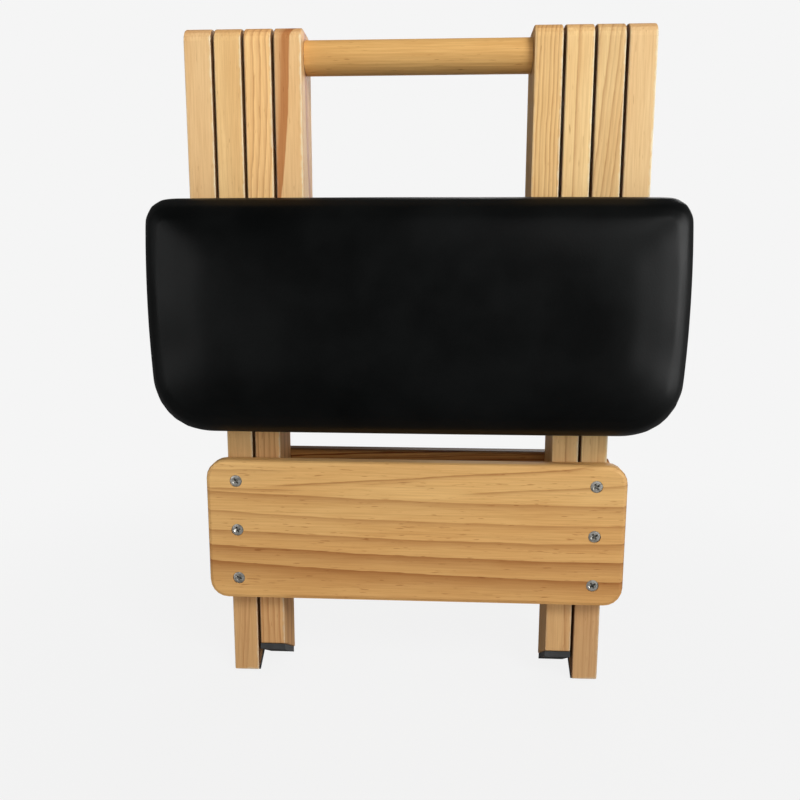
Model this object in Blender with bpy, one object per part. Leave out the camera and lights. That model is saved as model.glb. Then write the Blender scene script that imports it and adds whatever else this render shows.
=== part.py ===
"""Folding wooden yoga stool with two padded seat halves, shown folded flat and standing on its feet.

Metres, +Z up, the front board and the front cushion toward -Y. The origin is on the floor under the middle
of the folded frame. Each side has four upright strips, counted from the outside: the rail of the front seat
half, the leg that carries the front board, the leg that carries the rear board, and the rail of the rear
seat half. The legs cross at one pivot on each side, and each rail turns at the top of the leg beside it.
"""

import math

import bmesh
import bpy
from mathutils import Matrix, Vector

# Driving dimensions

HEIGHT = 0.4851                     # folded, from the floor to the tops of the strips
STRIP_WIDTH = 0.0195                # along X
STRIP_DEPTH = 0.040                 # along Y
STRIP_GAP = 0.00175                 # between two strips of one side
INNER_WIDTH = 0.1618                # clear space between the two innermost strips
TOP_RADIUS = 0.010                  # rounded ends of the strips, seen from the side
EDGE_RADIUS = 0.0009                # broken long edges of the wood
FIT = 0.0003                        # gap kept between touching pieces

PIVOT_DROP = 0.0173                 # seat pivots, below the tops
CROSSING_BELOW_PIVOT = 0.092        # from a seat pivot down to the crossing of the legs
LEAN = math.radians(30)             # lean of each leg when the stool stands open, and the cut of its foot
PAD_THICKNESS = 0.004
PAD_INSET = 0.005                   # a pad starts this far behind the long tip of its foot

RAIL_LENGTH = 0.272
DOWEL_RADIUS = 0.012

BOARD_WIDTH = 0.312                 # lower boards
BOARD_HEIGHT = 0.108
BOARD_THICKNESS = 0.015
BOARD_CORNER = 0.014
BOARD_EDGE = 0.003
FRONT_BOARD_DROP = 0.308            # top edge of the front board, below the tops
REAR_BOARD_DROP = 0.3113
BOARD_SCREW_MARGIN = 0.0155
BOARD_SCREW_STEP = 0.038

CUSHION_WIDTH = 0.3768
CUSHION_HEIGHT = 0.1659
CUSHION_DROP = 0.11825              # top edge of the cushions, below the tops
CUSHION_UPPER_CORNER = 0.0165
CUSHION_LOWER_CORNER = 0.039
CUSHION_LEAST_CORNER = 0.010        # corners of the outline stay at least this round toward the crown
CUSHION_SIDE_BULGE = 0.0018         # the middle of each short side stands out this far
CUSHION_LONG_BULGE = 0.0006
SEAT_BOARD_THICKNESS = 0.012
SEAT_BOARD_INSET = 0.005            # edge of the plywood, inside the cushion's outline
SEAT_SCREW_DROPS = (0.150, 0.250)

# Depth of the cushion's skin in front of the strips, and how far it lies inside the outline there
CUSHION_PROFILE = (
    (0.0010, 0.0020),
    (0.0030, 0.0006),
    (0.0120, 0.0002),
    (0.0240, 0.0000),
    (0.0340, 0.0016),
    (0.0420, 0.0058),
    (0.0475, 0.0130),
    (0.0500, 0.0240),
    (0.0515, 0.0420),
)
CUSHION_CROWN = 0.0525              # depth at the middle of the crown

# Fasteners
PIVOT_BOLT_HEAD = 0.0065            # radius
PIVOT_BOLT_SHANK = 0.003            # radius
PIVOT_HEAD_THICKNESS = 0.003
PIVOT_HEAD_SINK = 0.0007            # heads and nuts lie this far below the wood
NUT_RADIUS = 0.006
NUT_THICKNESS = 0.005
WASHER_RADIUS = 0.008
SCREW_HEAD_RADIUS = 0.0044
SCREW_SHANK_RADIUS = 0.0021
SCREW_HEAD_DEPTH = 0.0034
SCREW_RIM = 0.0006                  # straight edge of the countersunk head
SCREW_POINT = 0.004                 # length of the point
SCREW_TIP_RADIUS = 0.0004
SCREW_SINK = 0.0003
BOARD_SCREW_LENGTH = 0.035
SEAT_SCREW_LENGTH = 0.0478
DOWEL_BOLT_LENGTH = 0.0650
HOLE_REACH = 0.003                  # a hole's cutter starts this far outside the wood

# Facets

ROUND_SEGMENTS = 16
SCREW_SEGMENTS = 12
HOLE_SEGMENTS = 12
DOWEL_SEGMENTS = 32
CORNER_SEGMENTS = 5
CUSHION_CORNER_SEGMENTS = 7
CUSHION_LONG_SEGMENTS = 10
CUSHION_SIDE_SEGMENTS = 6
SMOOTH_BELOW = math.radians(35)     # faces that meet at less than this are shaded as one surface
BEVEL_ABOVE = math.radians(40)      # edges that turn by more than this are rounded

# Places that follow from them

FRONT_FACE = -STRIP_DEPTH / 2
REAR_FACE = STRIP_DEPTH / 2
PITCH = STRIP_WIDTH + STRIP_GAP
PIVOT_Z = HEIGHT - PIVOT_DROP
CROSSING_Z = PIVOT_Z - CROSSING_BELOW_PIVOT
CUSHION_Z = HEIGHT - CUSHION_DROP - CUSHION_HEIGHT / 2
SIDES = (("left", -1), ("right", 1))
INNER_RAIL, INNER_LEG, OUTER_LEG, OUTER_RAIL = range(4)


def strip_inner_x(layer):
    """Distance from the middle plane to the inner face of a strip; layer 0 is the innermost."""
    return INNER_WIDTH / 2 + layer * PITCH


def strip_outer_x(layer):
    return strip_inner_x(layer) + STRIP_WIDTH


# Materials

COLOURS = {
    "pine": ((0.66, 0.44, 0.24), 0.55, 0.0),
    "board_pine": ((0.55, 0.33, 0.15), 0.5, 0.0),
    "dowel_wood": ((0.67, 0.40, 0.17), 0.5, 0.0),
    "plywood": ((0.50, 0.36, 0.22), 0.7, 0.0),
    "black_cover": ((0.012, 0.013, 0.014), 0.45, 0.0),
    "zinc": ((0.55, 0.55, 0.55), 0.35, 1.0),
    "nylon": ((0.75, 0.75, 0.72), 0.6, 0.0),
    "rubber": ((0.02, 0.02, 0.02), 0.8, 0.0),
}


def material(name):
    found = bpy.data.materials.get(name)
    if found:
        return found
    colour, roughness, metallic = COLOURS[name]
    made = bpy.data.materials.new(name)
    made.use_nodes = True
    shader = made.node_tree.nodes["Principled BSDF"]
    shader.inputs["Base Color"].default_value = (*colour, 1.0)
    shader.inputs["Roughness"].default_value = roughness
    shader.inputs["Metallic"].default_value = metallic
    return made


# Building blocks

def clear_scene():
    for obj in list(bpy.data.objects):
        bpy.data.objects.remove(obj)


def add_object(name, mesh, material_name=None, parent=None):
    """Link a mesh that is drawn in world places, and hang it on its body's empty."""
    obj = bpy.data.objects.new(name, mesh)
    bpy.context.scene.collection.objects.link(obj)
    if material_name:
        mesh.materials.append(material(material_name))
    if parent:
        mesh.transform(Matrix.Translation(-parent.location))
        obj.parent = parent
    return obj


def add_empty(name, z):
    """A body's empty, on its pivot axis."""
    obj = bpy.data.objects.new(name, None)
    obj.location = (0.0, 0.0, z)
    bpy.context.scene.collection.objects.link(obj)
    return obj


def mesh_from(name, bm):
    bmesh.ops.recalc_face_normals(bm, faces=bm.faces)
    mesh = bpy.data.meshes.new(name)
    bm.to_mesh(mesh)
    bm.free()
    return mesh


def extrude_outline(bm, outline, axis, start, end):
    """A prism over a closed outline: its points are (Y, Z) for axis X and (X, Z) for axis Y."""
    def place(point, along):
        if axis == "X":
            return (along, point[0], point[1])
        return (point[0], along, point[1])

    near = [bm.verts.new(place(point, start)) for point in outline]
    far = [bm.verts.new(place(point, end)) for point in outline]
    bm.faces.new(near)
    bm.faces.new(far[::-1])
    count = len(outline)
    for i in range(count):
        j = (i + 1) % count
        bm.faces.new((near[j], near[i], far[i], far[j]))


def arc(centre, radius, start_deg, end_deg, segments=CORNER_SEGMENTS):
    points = []
    for k in range(segments + 1):
        angle = math.radians(start_deg + (end_deg - start_deg) * k / segments)
        points.append((centre[0] + radius * math.cos(angle), centre[1] + radius * math.sin(angle)))
    return points


def rounded_rectangle(width, height, centre_z, radius):
    """Outline in (X, Z), anticlockwise from the upper right corner."""
    x = width / 2 - radius
    z = height / 2 - radius
    outline = []
    for quarter, (side_x, side_z) in enumerate(((x, z), (-x, z), (-x, -z), (x, -z))):
        outline += arc((side_x, centre_z + side_z), radius, 90 * quarter, 90 * quarter + 90)
    return outline


def turned(bm, profile, origin, direction, segments=ROUND_SEGMENTS):
    """Rings of a turned body: profile points are (distance along the direction, radius)."""
    turn = Vector((0, 0, 1)).rotation_difference(Vector(direction)).to_matrix()
    rings = []
    for distance, radius in profile:
        ring = []
        for k in range(segments):
            angle = 2 * math.pi * k / segments
            local = Vector((radius * math.cos(angle), radius * math.sin(angle), distance))
            ring.append(bm.verts.new(Vector(origin) + turn @ local))
        rings.append(ring)
    for lower, upper in zip(rings, rings[1:]):
        for i in range(segments):
            j = (i + 1) % segments
            bm.faces.new((lower[i], lower[j], upper[j], upper[i]))
    return rings


def turned_solid(bm, profile, origin, direction, segments=ROUND_SEGMENTS):
    """A turned body with closed ends."""
    rings = turned(bm, profile, origin, direction, segments)
    bm.faces.new(rings[0][::-1])
    bm.faces.new(rings[-1])


def turned_ring(bm, length, outer, inner, origin, direction):
    """A washer or a round nut."""
    profile = ((0, inner), (0, outer), (length, outer), (length, inner))
    rings = turned(bm, profile, origin, direction)
    for i in range(ROUND_SEGMENTS):
        j = (i + 1) % ROUND_SEGMENTS
        bm.faces.new((rings[-1][i], rings[-1][j], rings[0][j], rings[0][i]))


def soften_edges(obj, width, segments=2):
    bevel = obj.modifiers.new("soft_edges", "BEVEL")
    bevel.width = width
    bevel.segments = segments
    bevel.limit_method = "ANGLE"
    bevel.angle_limit = BEVEL_ABOVE


def shade_round(mesh):
    mesh.shade_smooth()
    mesh.set_sharp_from_angle(angle=SMOOTH_BELOW)


def make_cutter(name, shapes):
    """One hidden object that holds every hole of a piece; shapes are (profile, origin, direction)."""
    bm = bmesh.new()
    for profile, origin, direction in shapes:
        turned_solid(bm, profile, origin, direction, HOLE_SEGMENTS)
    cutter = add_object(name, mesh_from(name, bm))
    cutter.hide_render = True
    cutter.display_type = "WIRE"
    return cutter


def drill(obj, shapes):
    """Cut the holes, and split the long faces round them into well-shaped triangles."""
    boolean = obj.modifiers.new("holes", "BOOLEAN")
    boolean.operation = "DIFFERENCE"
    boolean.solver = "EXACT"
    boolean.object = make_cutter(f"{obj.name}_holes", shapes)
    triangles = obj.modifiers.new("triangles", "TRIANGULATE")
    triangles.ngon_method = "BEAUTY"
    triangles.min_vertices = 4


# Fasteners

def bolt_profile(length):
    return (
        (0, PIVOT_BOLT_HEAD),
        (PIVOT_HEAD_THICKNESS, PIVOT_BOLT_HEAD),
        (PIVOT_HEAD_THICKNESS, PIVOT_BOLT_SHANK),
        (length, PIVOT_BOLT_SHANK),
    )


def bolt_head_hole():
    """The start of a pivot bolt's stepped hole: the recess of the head, down to the shank."""
    return (
        (-HOLE_REACH, PIVOT_BOLT_HEAD + FIT),
        (PIVOT_HEAD_THICKNESS + FIT, PIVOT_BOLT_HEAD + FIT),
        (PIVOT_HEAD_THICKNESS + FIT, PIVOT_BOLT_SHANK + FIT),
    )


def blind_hole(length):
    """The hole of a bolt that ends in the wood."""
    return (*bolt_head_hole(), (length + FIT, PIVOT_BOLT_SHANK + FIT))


def through_hole(length):
    """The hole of a bolt through two strips, with the recess of the sunk nut at its far end."""
    nut_start = length - NUT_THICKNESS - FIT
    return (
        *bolt_head_hole(),
        (nut_start, PIVOT_BOLT_SHANK + FIT),
        (nut_start, NUT_RADIUS + FIT),
        (length + HOLE_REACH, NUT_RADIUS + FIT),
    )


def screw_profile(length):
    """A countersunk wood screw with a pointed end."""
    return (
        (0, SCREW_HEAD_RADIUS),
        (SCREW_RIM, SCREW_HEAD_RADIUS),
        (SCREW_HEAD_DEPTH, SCREW_SHANK_RADIUS),
        (length - SCREW_POINT, SCREW_SHANK_RADIUS),
        (length, SCREW_TIP_RADIUS),
    )


def screw_hole(length):
    return (
        (-HOLE_REACH, SCREW_HEAD_RADIUS + FIT),
        (SCREW_RIM + FIT, SCREW_HEAD_RADIUS + FIT),
        (SCREW_HEAD_DEPTH + FIT, SCREW_SHANK_RADIUS + FIT),
        (length + FIT, SCREW_SHANK_RADIUS + FIT),
    )


def crossing_bolt_place(sign):
    """Head end and direction of the bolt that the two legs of one side turn on."""
    return (sign * (strip_outer_x(OUTER_LEG) - PIVOT_HEAD_SINK), 0, CROSSING_Z), (-sign, 0, 0)


def rail_bolt_place(sign):
    """The bolt of a front seat rail, sunk in the rail's outer face."""
    return (sign * (strip_outer_x(OUTER_RAIL) - PIVOT_HEAD_SINK), 0, PIVOT_Z), (-sign, 0, 0)


def dowel_bolt_place(sign):
    """The bolt through an inner leg and a rear seat rail into the end of the dowel."""
    return (sign * (strip_outer_x(INNER_LEG) - PIVOT_HEAD_SINK), 0, PIVOT_Z), (-sign, 0, 0)


def two_strip_bolt_length():
    """A bolt through two strips, ending flush with its sunk nut."""
    return 2 * STRIP_WIDTH + STRIP_GAP - 2 * PIVOT_HEAD_SINK


def nut_place(layer, sign, z):
    """The wood's inner face at a nut, and the direction into the wood."""
    return (sign * strip_inner_x(layer), 0, z), (sign, 0, 0)


def board_screw_places(drop, layer, front):
    """Six screws of a lower board: three in a row on each leg."""
    face = (STRIP_DEPTH / 2 + FIT + BOARD_THICKNESS - SCREW_SINK) * (-1 if front else 1)
    inward = (0, 1 if front else -1, 0)
    places = []
    for _, sign in SIDES:
        x = sign * (strip_inner_x(layer) + STRIP_WIDTH / 2)
        for k in range(3):
            z = HEIGHT - drop - BOARD_SCREW_MARGIN - k * BOARD_SCREW_STEP
            places.append(((x, face, z), inward))
    return places


def seat_screw_places(layer, front):
    """Four screws through the rails into the plywood of a seat half, heads on the far side of the rails."""
    face = (STRIP_DEPTH / 2 - SCREW_SINK) * (1 if front else -1)
    toward_board = (0, -1 if front else 1, 0)
    places = []
    for _, sign in SIDES:
        x = sign * (strip_inner_x(layer) + STRIP_WIDTH / 2)
        for drop in SEAT_SCREW_DROPS:
            places.append(((x, face, HEIGHT - drop), toward_board))
    return places


def on_side(places, sign):
    return [place for place in places if place[0][0] * sign > 0]


def add_bolt(name, place, length, parent):
    bm = bmesh.new()
    turned_solid(bm, bolt_profile(length), *place)
    mesh = mesh_from(name, bm)
    shade_round(mesh)
    return add_object(name, mesh, "zinc", parent)


def add_nut(name, place, parent):
    origin, direction = place
    start = Vector(origin) + Vector(direction) * PIVOT_HEAD_SINK
    bm = bmesh.new()
    turned_ring(bm, NUT_THICKNESS, NUT_RADIUS, PIVOT_BOLT_SHANK + FIT, start, direction)
    mesh = mesh_from(name, bm)
    shade_round(mesh)
    return add_object(name, mesh, "zinc", parent)


def add_washer(name, outer_layer, sign, z, parent):
    """A thin washer in the gap on the inner side of a strip."""
    thickness = STRIP_GAP - 2 * FIT
    start = (sign * (strip_inner_x(outer_layer) - STRIP_GAP + FIT), 0, z)
    bm = bmesh.new()
    turned_ring(bm, thickness, WASHER_RADIUS, PIVOT_BOLT_SHANK + FIT, start, (sign, 0, 0))
    mesh = mesh_from(name, bm)
    shade_round(mesh)
    return add_object(name, mesh, "nylon", parent)


def add_screws(name, places, length, parent):
    """Wood screws, numbered from the upper left as the list of places runs."""
    for number, (origin, direction) in enumerate(places, start=1):
        bm = bmesh.new()
        turned_solid(bm, screw_profile(length), origin, direction, SCREW_SEGMENTS)
        mesh = mesh_from(f"{name}_{number}", bm)
        shade_round(mesh)
        add_object(f"{name}_{number}", mesh, "zinc", parent)


# Wooden strips

def strip_top():
    """The rounded top end in (Y, Z), from the rear side over to the front side."""
    y = STRIP_DEPTH / 2 - TOP_RADIUS
    z = HEIGHT - TOP_RADIUS
    return arc((y, z), TOP_RADIUS, 0, 90) + arc((-y, z), TOP_RADIUS, 90, 180)


def sole_z(y, cut_faces):
    """Height of the sloping plane under a foot's pad; it meets the floor at the pad's low end."""
    return (y * cut_faces + STRIP_DEPTH / 2 - PAD_INSET) * math.tan(LEAN)


def leg_outline(cut_faces):
    """A leg's side profile; its foot is cut at the lean angle, facing the rear (1) or the front (-1)."""
    above = (PAD_THICKNESS + FIT) / math.cos(LEAN)
    return strip_top() + [(y, sole_z(y, cut_faces) + above) for y in (FRONT_FACE, REAR_FACE)]


def pad_outline(cut_faces):
    """The rubber pad under a foot, parallel to the cut and set back from the foot's long tip."""
    thickness = PAD_THICKNESS / math.cos(LEAN)
    low_end, high_end = -cut_faces * (STRIP_DEPTH / 2 - PAD_INSET), cut_faces * STRIP_DEPTH / 2
    under = [(y, sole_z(y, cut_faces)) for y in (low_end, high_end)]
    return under + [(y, z + thickness) for y, z in reversed(under)]


def rail_outline():
    y = STRIP_DEPTH / 2 - TOP_RADIUS
    z = HEIGHT - RAIL_LENGTH + TOP_RADIUS
    return strip_top() + arc((-y, z), TOP_RADIUS, 180, 270) + arc((y, z), TOP_RADIUS, 270, 360)


def add_strip(name, outline, layer, sign, holes, parent, material_name="pine"):
    bm = bmesh.new()
    extrude_outline(bm, outline, "X", sign * strip_inner_x(layer), sign * strip_outer_x(layer))
    obj = add_object(name, mesh_from(name, bm), material_name, parent)
    soften_edges(obj, EDGE_RADIUS)
    drill(obj, holes)
    return obj


def add_pad(name, cut_faces, layer, sign, parent):
    bm = bmesh.new()
    outline = pad_outline(cut_faces)
    extrude_outline(bm, outline, "X", sign * strip_inner_x(layer), sign * strip_outer_x(layer))
    return add_object(name, mesh_from(name, bm), "rubber", parent)


# Boards and cushions

def cushion_outline(inset):
    """The cushion's outline in (X, Z), with full sides between drawn-in corners."""
    upper = max(CUSHION_UPPER_CORNER - inset / 2, CUSHION_LEAST_CORNER)
    lower = max(CUSHION_LOWER_CORNER - inset / 2, CUSHION_LEAST_CORNER)
    right = CUSHION_WIDTH / 2 - CUSHION_SIDE_BULGE - inset
    top = CUSHION_HEIGHT / 2 - CUSHION_LONG_BULGE - inset

    def side(start, end, steps, bulge):
        """Points strictly between two corners, pushed outward by a parabola."""
        points = []
        along = Vector(end) - Vector(start)
        outward = Vector((along.y, -along.x)).normalized()
        for k in range(1, steps):
            t = k / steps
            points.append(tuple(Vector(start) + along * t + outward * (bulge * 4 * t * (1 - t))))
        return points

    corners = (
        arc((right - upper, top - upper), upper, 0, 90, CUSHION_CORNER_SEGMENTS),
        arc((upper - right, top - upper), upper, 90, 180, CUSHION_CORNER_SEGMENTS),
        arc((lower - right, lower - top), lower, 180, 270, CUSHION_CORNER_SEGMENTS),
        arc((right - lower, lower - top), lower, 270, 360, CUSHION_CORNER_SEGMENTS),
    )
    sides = (
        (CUSHION_LONG_SEGMENTS, CUSHION_LONG_BULGE),
        (CUSHION_SIDE_SEGMENTS, CUSHION_SIDE_BULGE),
        (CUSHION_LONG_SEGMENTS, CUSHION_LONG_BULGE),
        (CUSHION_SIDE_SEGMENTS, CUSHION_SIDE_BULGE),
    )
    outline = []
    for k, (steps, bulge) in enumerate(sides):
        outline += corners[k]
        outline += side(corners[k][-1], corners[(k + 1) % 4][0], steps, bulge)
    return [(x, z + CUSHION_Z) for x, z in outline]


def lower_board(name, drop, layer, front, parent):
    """A wide board across the feet of one pair of legs."""
    way = -1 if front else 1
    centre_z = HEIGHT - drop - BOARD_HEIGHT / 2
    near = way * (STRIP_DEPTH / 2 + FIT)
    bm = bmesh.new()
    outline = rounded_rectangle(BOARD_WIDTH, BOARD_HEIGHT, centre_z, BOARD_CORNER)
    extrude_outline(bm, outline, "Y", near, near + way * BOARD_THICKNESS)
    board = add_object(name, mesh_from(name, bm), "board_pine", parent)
    soften_edges(board, BOARD_EDGE)
    places = board_screw_places(drop, layer, front)
    drill(board, [(screw_hole(BOARD_SCREW_LENGTH), *place) for place in places])


def seat_board(name, layer, front, parent):
    """The plywood under a cushion, cut to the cushion's outline."""
    way = -1 if front else 1
    near = way * (STRIP_DEPTH / 2 + FIT)
    bm = bmesh.new()
    extrude_outline(bm, cushion_outline(SEAT_BOARD_INSET), "Y", near, near + way * SEAT_BOARD_THICKNESS)
    board = add_object(name, mesh_from(name, bm), "plywood", parent)
    places = seat_screw_places(layer, front)
    drill(board, [(screw_hole(SEAT_SCREW_LENGTH), *place) for place in places])


def add_cushion(name, front, parent):
    """Foam under a smooth cover that wraps round the edge of the plywood."""
    way = -1 if front else 1
    pocket_floor = SEAT_BOARD_THICKNESS + 2 * FIT
    pocket_inset = SEAT_BOARD_INSET - FIT
    rim_depth = CUSHION_PROFILE[0][0]
    levels = [(pocket_floor, pocket_inset), (rim_depth, pocket_inset)] + list(CUSHION_PROFILE)
    bm = bmesh.new()
    rings = []
    for depth, inset in levels:
        y = way * (STRIP_DEPTH / 2 + depth)
        rings.append([bm.verts.new((x, y, z)) for x, z in cushion_outline(inset)])
    count = len(rings[0])
    for inner, outer in zip(rings, rings[1:]):
        for i in range(count):
            j = (i + 1) % count
            bm.faces.new((inner[i], inner[j], outer[j], outer[i]))
    for ring, depth in ((rings[0], pocket_floor), (rings[-1], CUSHION_CROWN)):
        middle = bm.verts.new((0, way * (STRIP_DEPTH / 2 + depth), CUSHION_Z))
        for i in range(count):
            bm.faces.new((ring[i], ring[(i + 1) % count], middle))
    mesh = mesh_from(name, bm)
    shade_round(mesh)
    return add_object(name, mesh, "black_cover", parent)


# The stool

def build_crossing(parent):
    """The two bolts on which the legs cross, with their nuts and washers."""
    for side, sign in SIDES:
        add_bolt(f"crossing_bolt_{side}", crossing_bolt_place(sign), two_strip_bolt_length(), parent)
        add_nut(f"crossing_nut_{side}", nut_place(INNER_LEG, sign, CROSSING_Z), parent)
        add_washer(f"crossing_washer_{side}", OUTER_LEG, sign, CROSSING_Z, parent)


def build_outer_frame(parent):
    """The pair of legs with the front board, and the bolts that the front seat half turns on."""
    screws = board_screw_places(FRONT_BOARD_DROP, OUTER_LEG, True)
    length = two_strip_bolt_length()
    for side, sign in SIDES:
        holes = [
            (through_hole(length), *crossing_bolt_place(sign)),
            (through_hole(length), *rail_bolt_place(sign)),
        ]
        holes += [(screw_hole(BOARD_SCREW_LENGTH), *place) for place in on_side(screws, sign)]
        add_strip(f"outer_leg_{side}", leg_outline(1), OUTER_LEG, sign, holes, parent)
        add_pad(f"outer_foot_pad_{side}", 1, OUTER_LEG, sign, parent)
        add_bolt(f"rail_bolt_{side}", rail_bolt_place(sign), length, parent)
        add_nut(f"rail_nut_{side}", nut_place(OUTER_LEG, sign, PIVOT_Z), parent)
        add_washer(f"rail_washer_{side}", OUTER_RAIL, sign, PIVOT_Z, parent)
    lower_board("front_board", FRONT_BOARD_DROP, OUTER_LEG, True, parent)
    add_screws("front_board_screw", screws, BOARD_SCREW_LENGTH, parent)


def build_inner_frame(parent):
    """The pair of legs with the rear board, tied at the top by the dowel."""
    screws = board_screw_places(REAR_BOARD_DROP, INNER_LEG, False)
    for side, sign in SIDES:
        holes = [
            (through_hole(two_strip_bolt_length()), *crossing_bolt_place(sign)),
            (blind_hole(DOWEL_BOLT_LENGTH), *dowel_bolt_place(sign)),
        ]
        holes += [(screw_hole(BOARD_SCREW_LENGTH), *place) for place in on_side(screws, sign)]
        add_strip(f"inner_leg_{side}", leg_outline(-1), INNER_LEG, sign, holes, parent)
        add_pad(f"inner_foot_pad_{side}", -1, INNER_LEG, sign, parent)
        add_bolt(f"dowel_bolt_{side}", dowel_bolt_place(sign), DOWEL_BOLT_LENGTH, parent)
        add_washer(f"dowel_washer_{side}", INNER_LEG, sign, PIVOT_Z, parent)
    lower_board("rear_board", REAR_BOARD_DROP, INNER_LEG, False, parent)
    add_screws("rear_board_screw", screws, BOARD_SCREW_LENGTH, parent)
    build_dowel(parent)


def build_dowel(parent):
    half_length = INNER_WIDTH / 2 - FIT
    bm = bmesh.new()
    outline = [
        (DOWEL_RADIUS * math.cos(angle), PIVOT_Z + DOWEL_RADIUS * math.sin(angle))
        for angle in (2 * math.pi * k / DOWEL_SEGMENTS for k in range(DOWEL_SEGMENTS))
    ]
    extrude_outline(bm, outline, "X", -half_length, half_length)
    mesh = mesh_from("top_dowel", bm)
    shade_round(mesh)
    dowel = add_object("top_dowel", mesh, "dowel_wood", parent)
    drill(dowel, [(blind_hole(DOWEL_BOLT_LENGTH), *dowel_bolt_place(sign)) for _, sign in SIDES])


def build_seat_half(prefix, layer, hole, bolt_place, rail_prefix, front, parent):
    """Two rails, the plywood across them, its cushion and the four screws that hold it."""
    screws = seat_screw_places(layer, front)
    for side, sign in SIDES:
        holes = [(hole, *bolt_place(sign))]
        holes += [(screw_hole(SEAT_SCREW_LENGTH), *place) for place in on_side(screws, sign)]
        add_strip(f"{rail_prefix}_{side}", rail_outline(), layer, sign, holes, parent)
    seat_board(f"{prefix}_seat_board", layer, front, parent)
    add_cushion(f"{prefix}_cushion", front, parent)
    add_screws(f"{prefix}_seat_screw", screws, SEAT_SCREW_LENGTH, parent)


def main():
    clear_scene()
    build_crossing(add_empty("crossing_axis", CROSSING_Z))
    build_outer_frame(add_empty("outer_frame_axis", CROSSING_Z))
    build_inner_frame(add_empty("inner_frame_axis", CROSSING_Z))
    front_axis = add_empty("front_seat_axis", PIVOT_Z)
    rear_axis = add_empty("rear_seat_axis", PIVOT_Z)
    rail_hole = through_hole(two_strip_bolt_length())
    dowel_hole = blind_hole(DOWEL_BOLT_LENGTH)
    build_seat_half("front", OUTER_RAIL, rail_hole, rail_bolt_place, "outer_rail", True, front_axis)
    build_seat_half("rear", INNER_RAIL, dowel_hole, dowel_bolt_place, "inner_rail", False, rear_axis)


main()
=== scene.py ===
"""Finishes the folding yoga stool: wood, padded covers, screws, bolts and the studio around it."""

import math

import bmesh
import bpy
import numpy as np
from bpy.props import FloatProperty, FloatVectorProperty, IntProperty, PointerProperty
from mathutils import Matrix, Vector, geometry


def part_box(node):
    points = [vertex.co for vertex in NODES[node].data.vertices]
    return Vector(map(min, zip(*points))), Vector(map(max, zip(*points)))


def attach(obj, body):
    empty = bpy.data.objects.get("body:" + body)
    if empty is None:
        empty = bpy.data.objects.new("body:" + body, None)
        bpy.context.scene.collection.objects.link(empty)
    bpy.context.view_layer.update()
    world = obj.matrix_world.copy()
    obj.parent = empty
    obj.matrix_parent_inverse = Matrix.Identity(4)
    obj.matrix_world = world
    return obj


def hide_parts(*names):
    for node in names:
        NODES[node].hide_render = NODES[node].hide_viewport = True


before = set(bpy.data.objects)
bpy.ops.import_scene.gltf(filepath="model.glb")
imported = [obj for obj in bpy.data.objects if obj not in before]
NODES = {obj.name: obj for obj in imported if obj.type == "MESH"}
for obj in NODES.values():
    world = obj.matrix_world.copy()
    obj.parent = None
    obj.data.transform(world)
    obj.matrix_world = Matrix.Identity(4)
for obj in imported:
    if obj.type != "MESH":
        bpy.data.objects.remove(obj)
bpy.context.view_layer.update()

bl_info = {
    "name": "Folding Yoga Stool",
    "version": (1, 0, 0),
    "blender": (4, 5, 0),
    "location": "View3D > Sidebar > Stool",
    "description": "Wood, covers, fasteners and studio of a folding stool for yoga",
    "category": "Add Mesh",
}

SIDES = ("left", "right")
HALVES = {"front": {"way": -1, "body": "front_seat"}, "rear": {"way": 1, "body": "rear_seat"}}

# Height of the lower ends of the seat rails
RAIL_END = 0.213
# Painted shade between two strips: its colour, how far it takes to thin out from the front, and at a rail's
# end
GAP_SHADE = (0.28, 0.20, 0.16)
GAP_DEPTH = 0.018
GAP_END = 0.004
# How far the pale edges of the lower boards and of the round bar reach
BOARD_EDGE_REACH = 0.0007
DOWEL_EDGE_REACH = 0.0002
VENEERS = 7
# How sharply the outline of a seat board turns, in radians per metre, where gathers begin and are full
GATHERS_BEGIN = 8.0
GATHERS_FULL = 20.0
# How high gathers stand on the hem, and how far from the middle they begin to stand up, beside the rails
GATHER_HEIGHT = 0.0005
BESIDE_RAILS = 0.1665
# What all the lamps point at
STOOL_MIDDLE = Vector((0.0, 0.0, 0.30))


def srgb(red, green, blue):
    """Linear colour of a display colour given in 0 to 255."""
    def linear(value):
        value /= 255
        return value / 12.92 if value <= 0.04045 else ((value + 0.055) / 1.055) ** 2.4

    return tuple(linear(value) for value in (red, green, blue))


# Settings


def colour_property(name, description, *display):
    """A colour whose default is given in display values from 0 to 255."""
    return FloatVectorProperty(name=name, description=description, subtype="COLOR", size=3,
                               min=0.0, max=1.0, default=srgb(*display))


def length_property(name, description, default, least, most):
    return FloatProperty(name=name, description=description, subtype="DISTANCE", unit="LENGTH",
                         default=default, min=least, max=most)


def power_property(name, description, default):
    return FloatProperty(name=name, description=description, subtype="POWER", default=default,
                         min=0.0, max=500.0)


def angle_property(name, description, degrees):
    return FloatProperty(name=name, description=description, subtype="ANGLE", unit="ROTATION",
                         default=math.radians(degrees))


class StoolWoodSettings(bpy.types.PropertyGroup):
    rail_light: colour_property("Rail wood", "Early wood of the seat rails", 236, 200, 150)
    rail_dark: colour_property("Rail grain", "Late wood of the seat rails", 176, 108, 54)
    leg_light: colour_property("Leg wood", "Early wood of the legs", 234, 197, 146)
    leg_dark: colour_property("Leg grain", "Late wood of the legs", 168, 100, 48)
    board_light: colour_property("Board wood", "Early wood of the lower boards", 224, 180, 120)
    board_dark: colour_property("Board grain", "Late wood of the lower boards", 146, 86, 38)
    dowel_light: colour_property("Bar wood", "Early wood of the round bar", 236, 190, 120)
    dowel_dark: colour_property("Bar grain", "Late wood of the round bar", 198, 146, 84)
    # The reach of the pale edges: sanded wear, with a painted highlight on the right edges
    edge_reach: length_property("Edge wear", "How far the sanded edges of the strips reach",
                                0.0018, 0.0002, 0.01)


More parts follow.
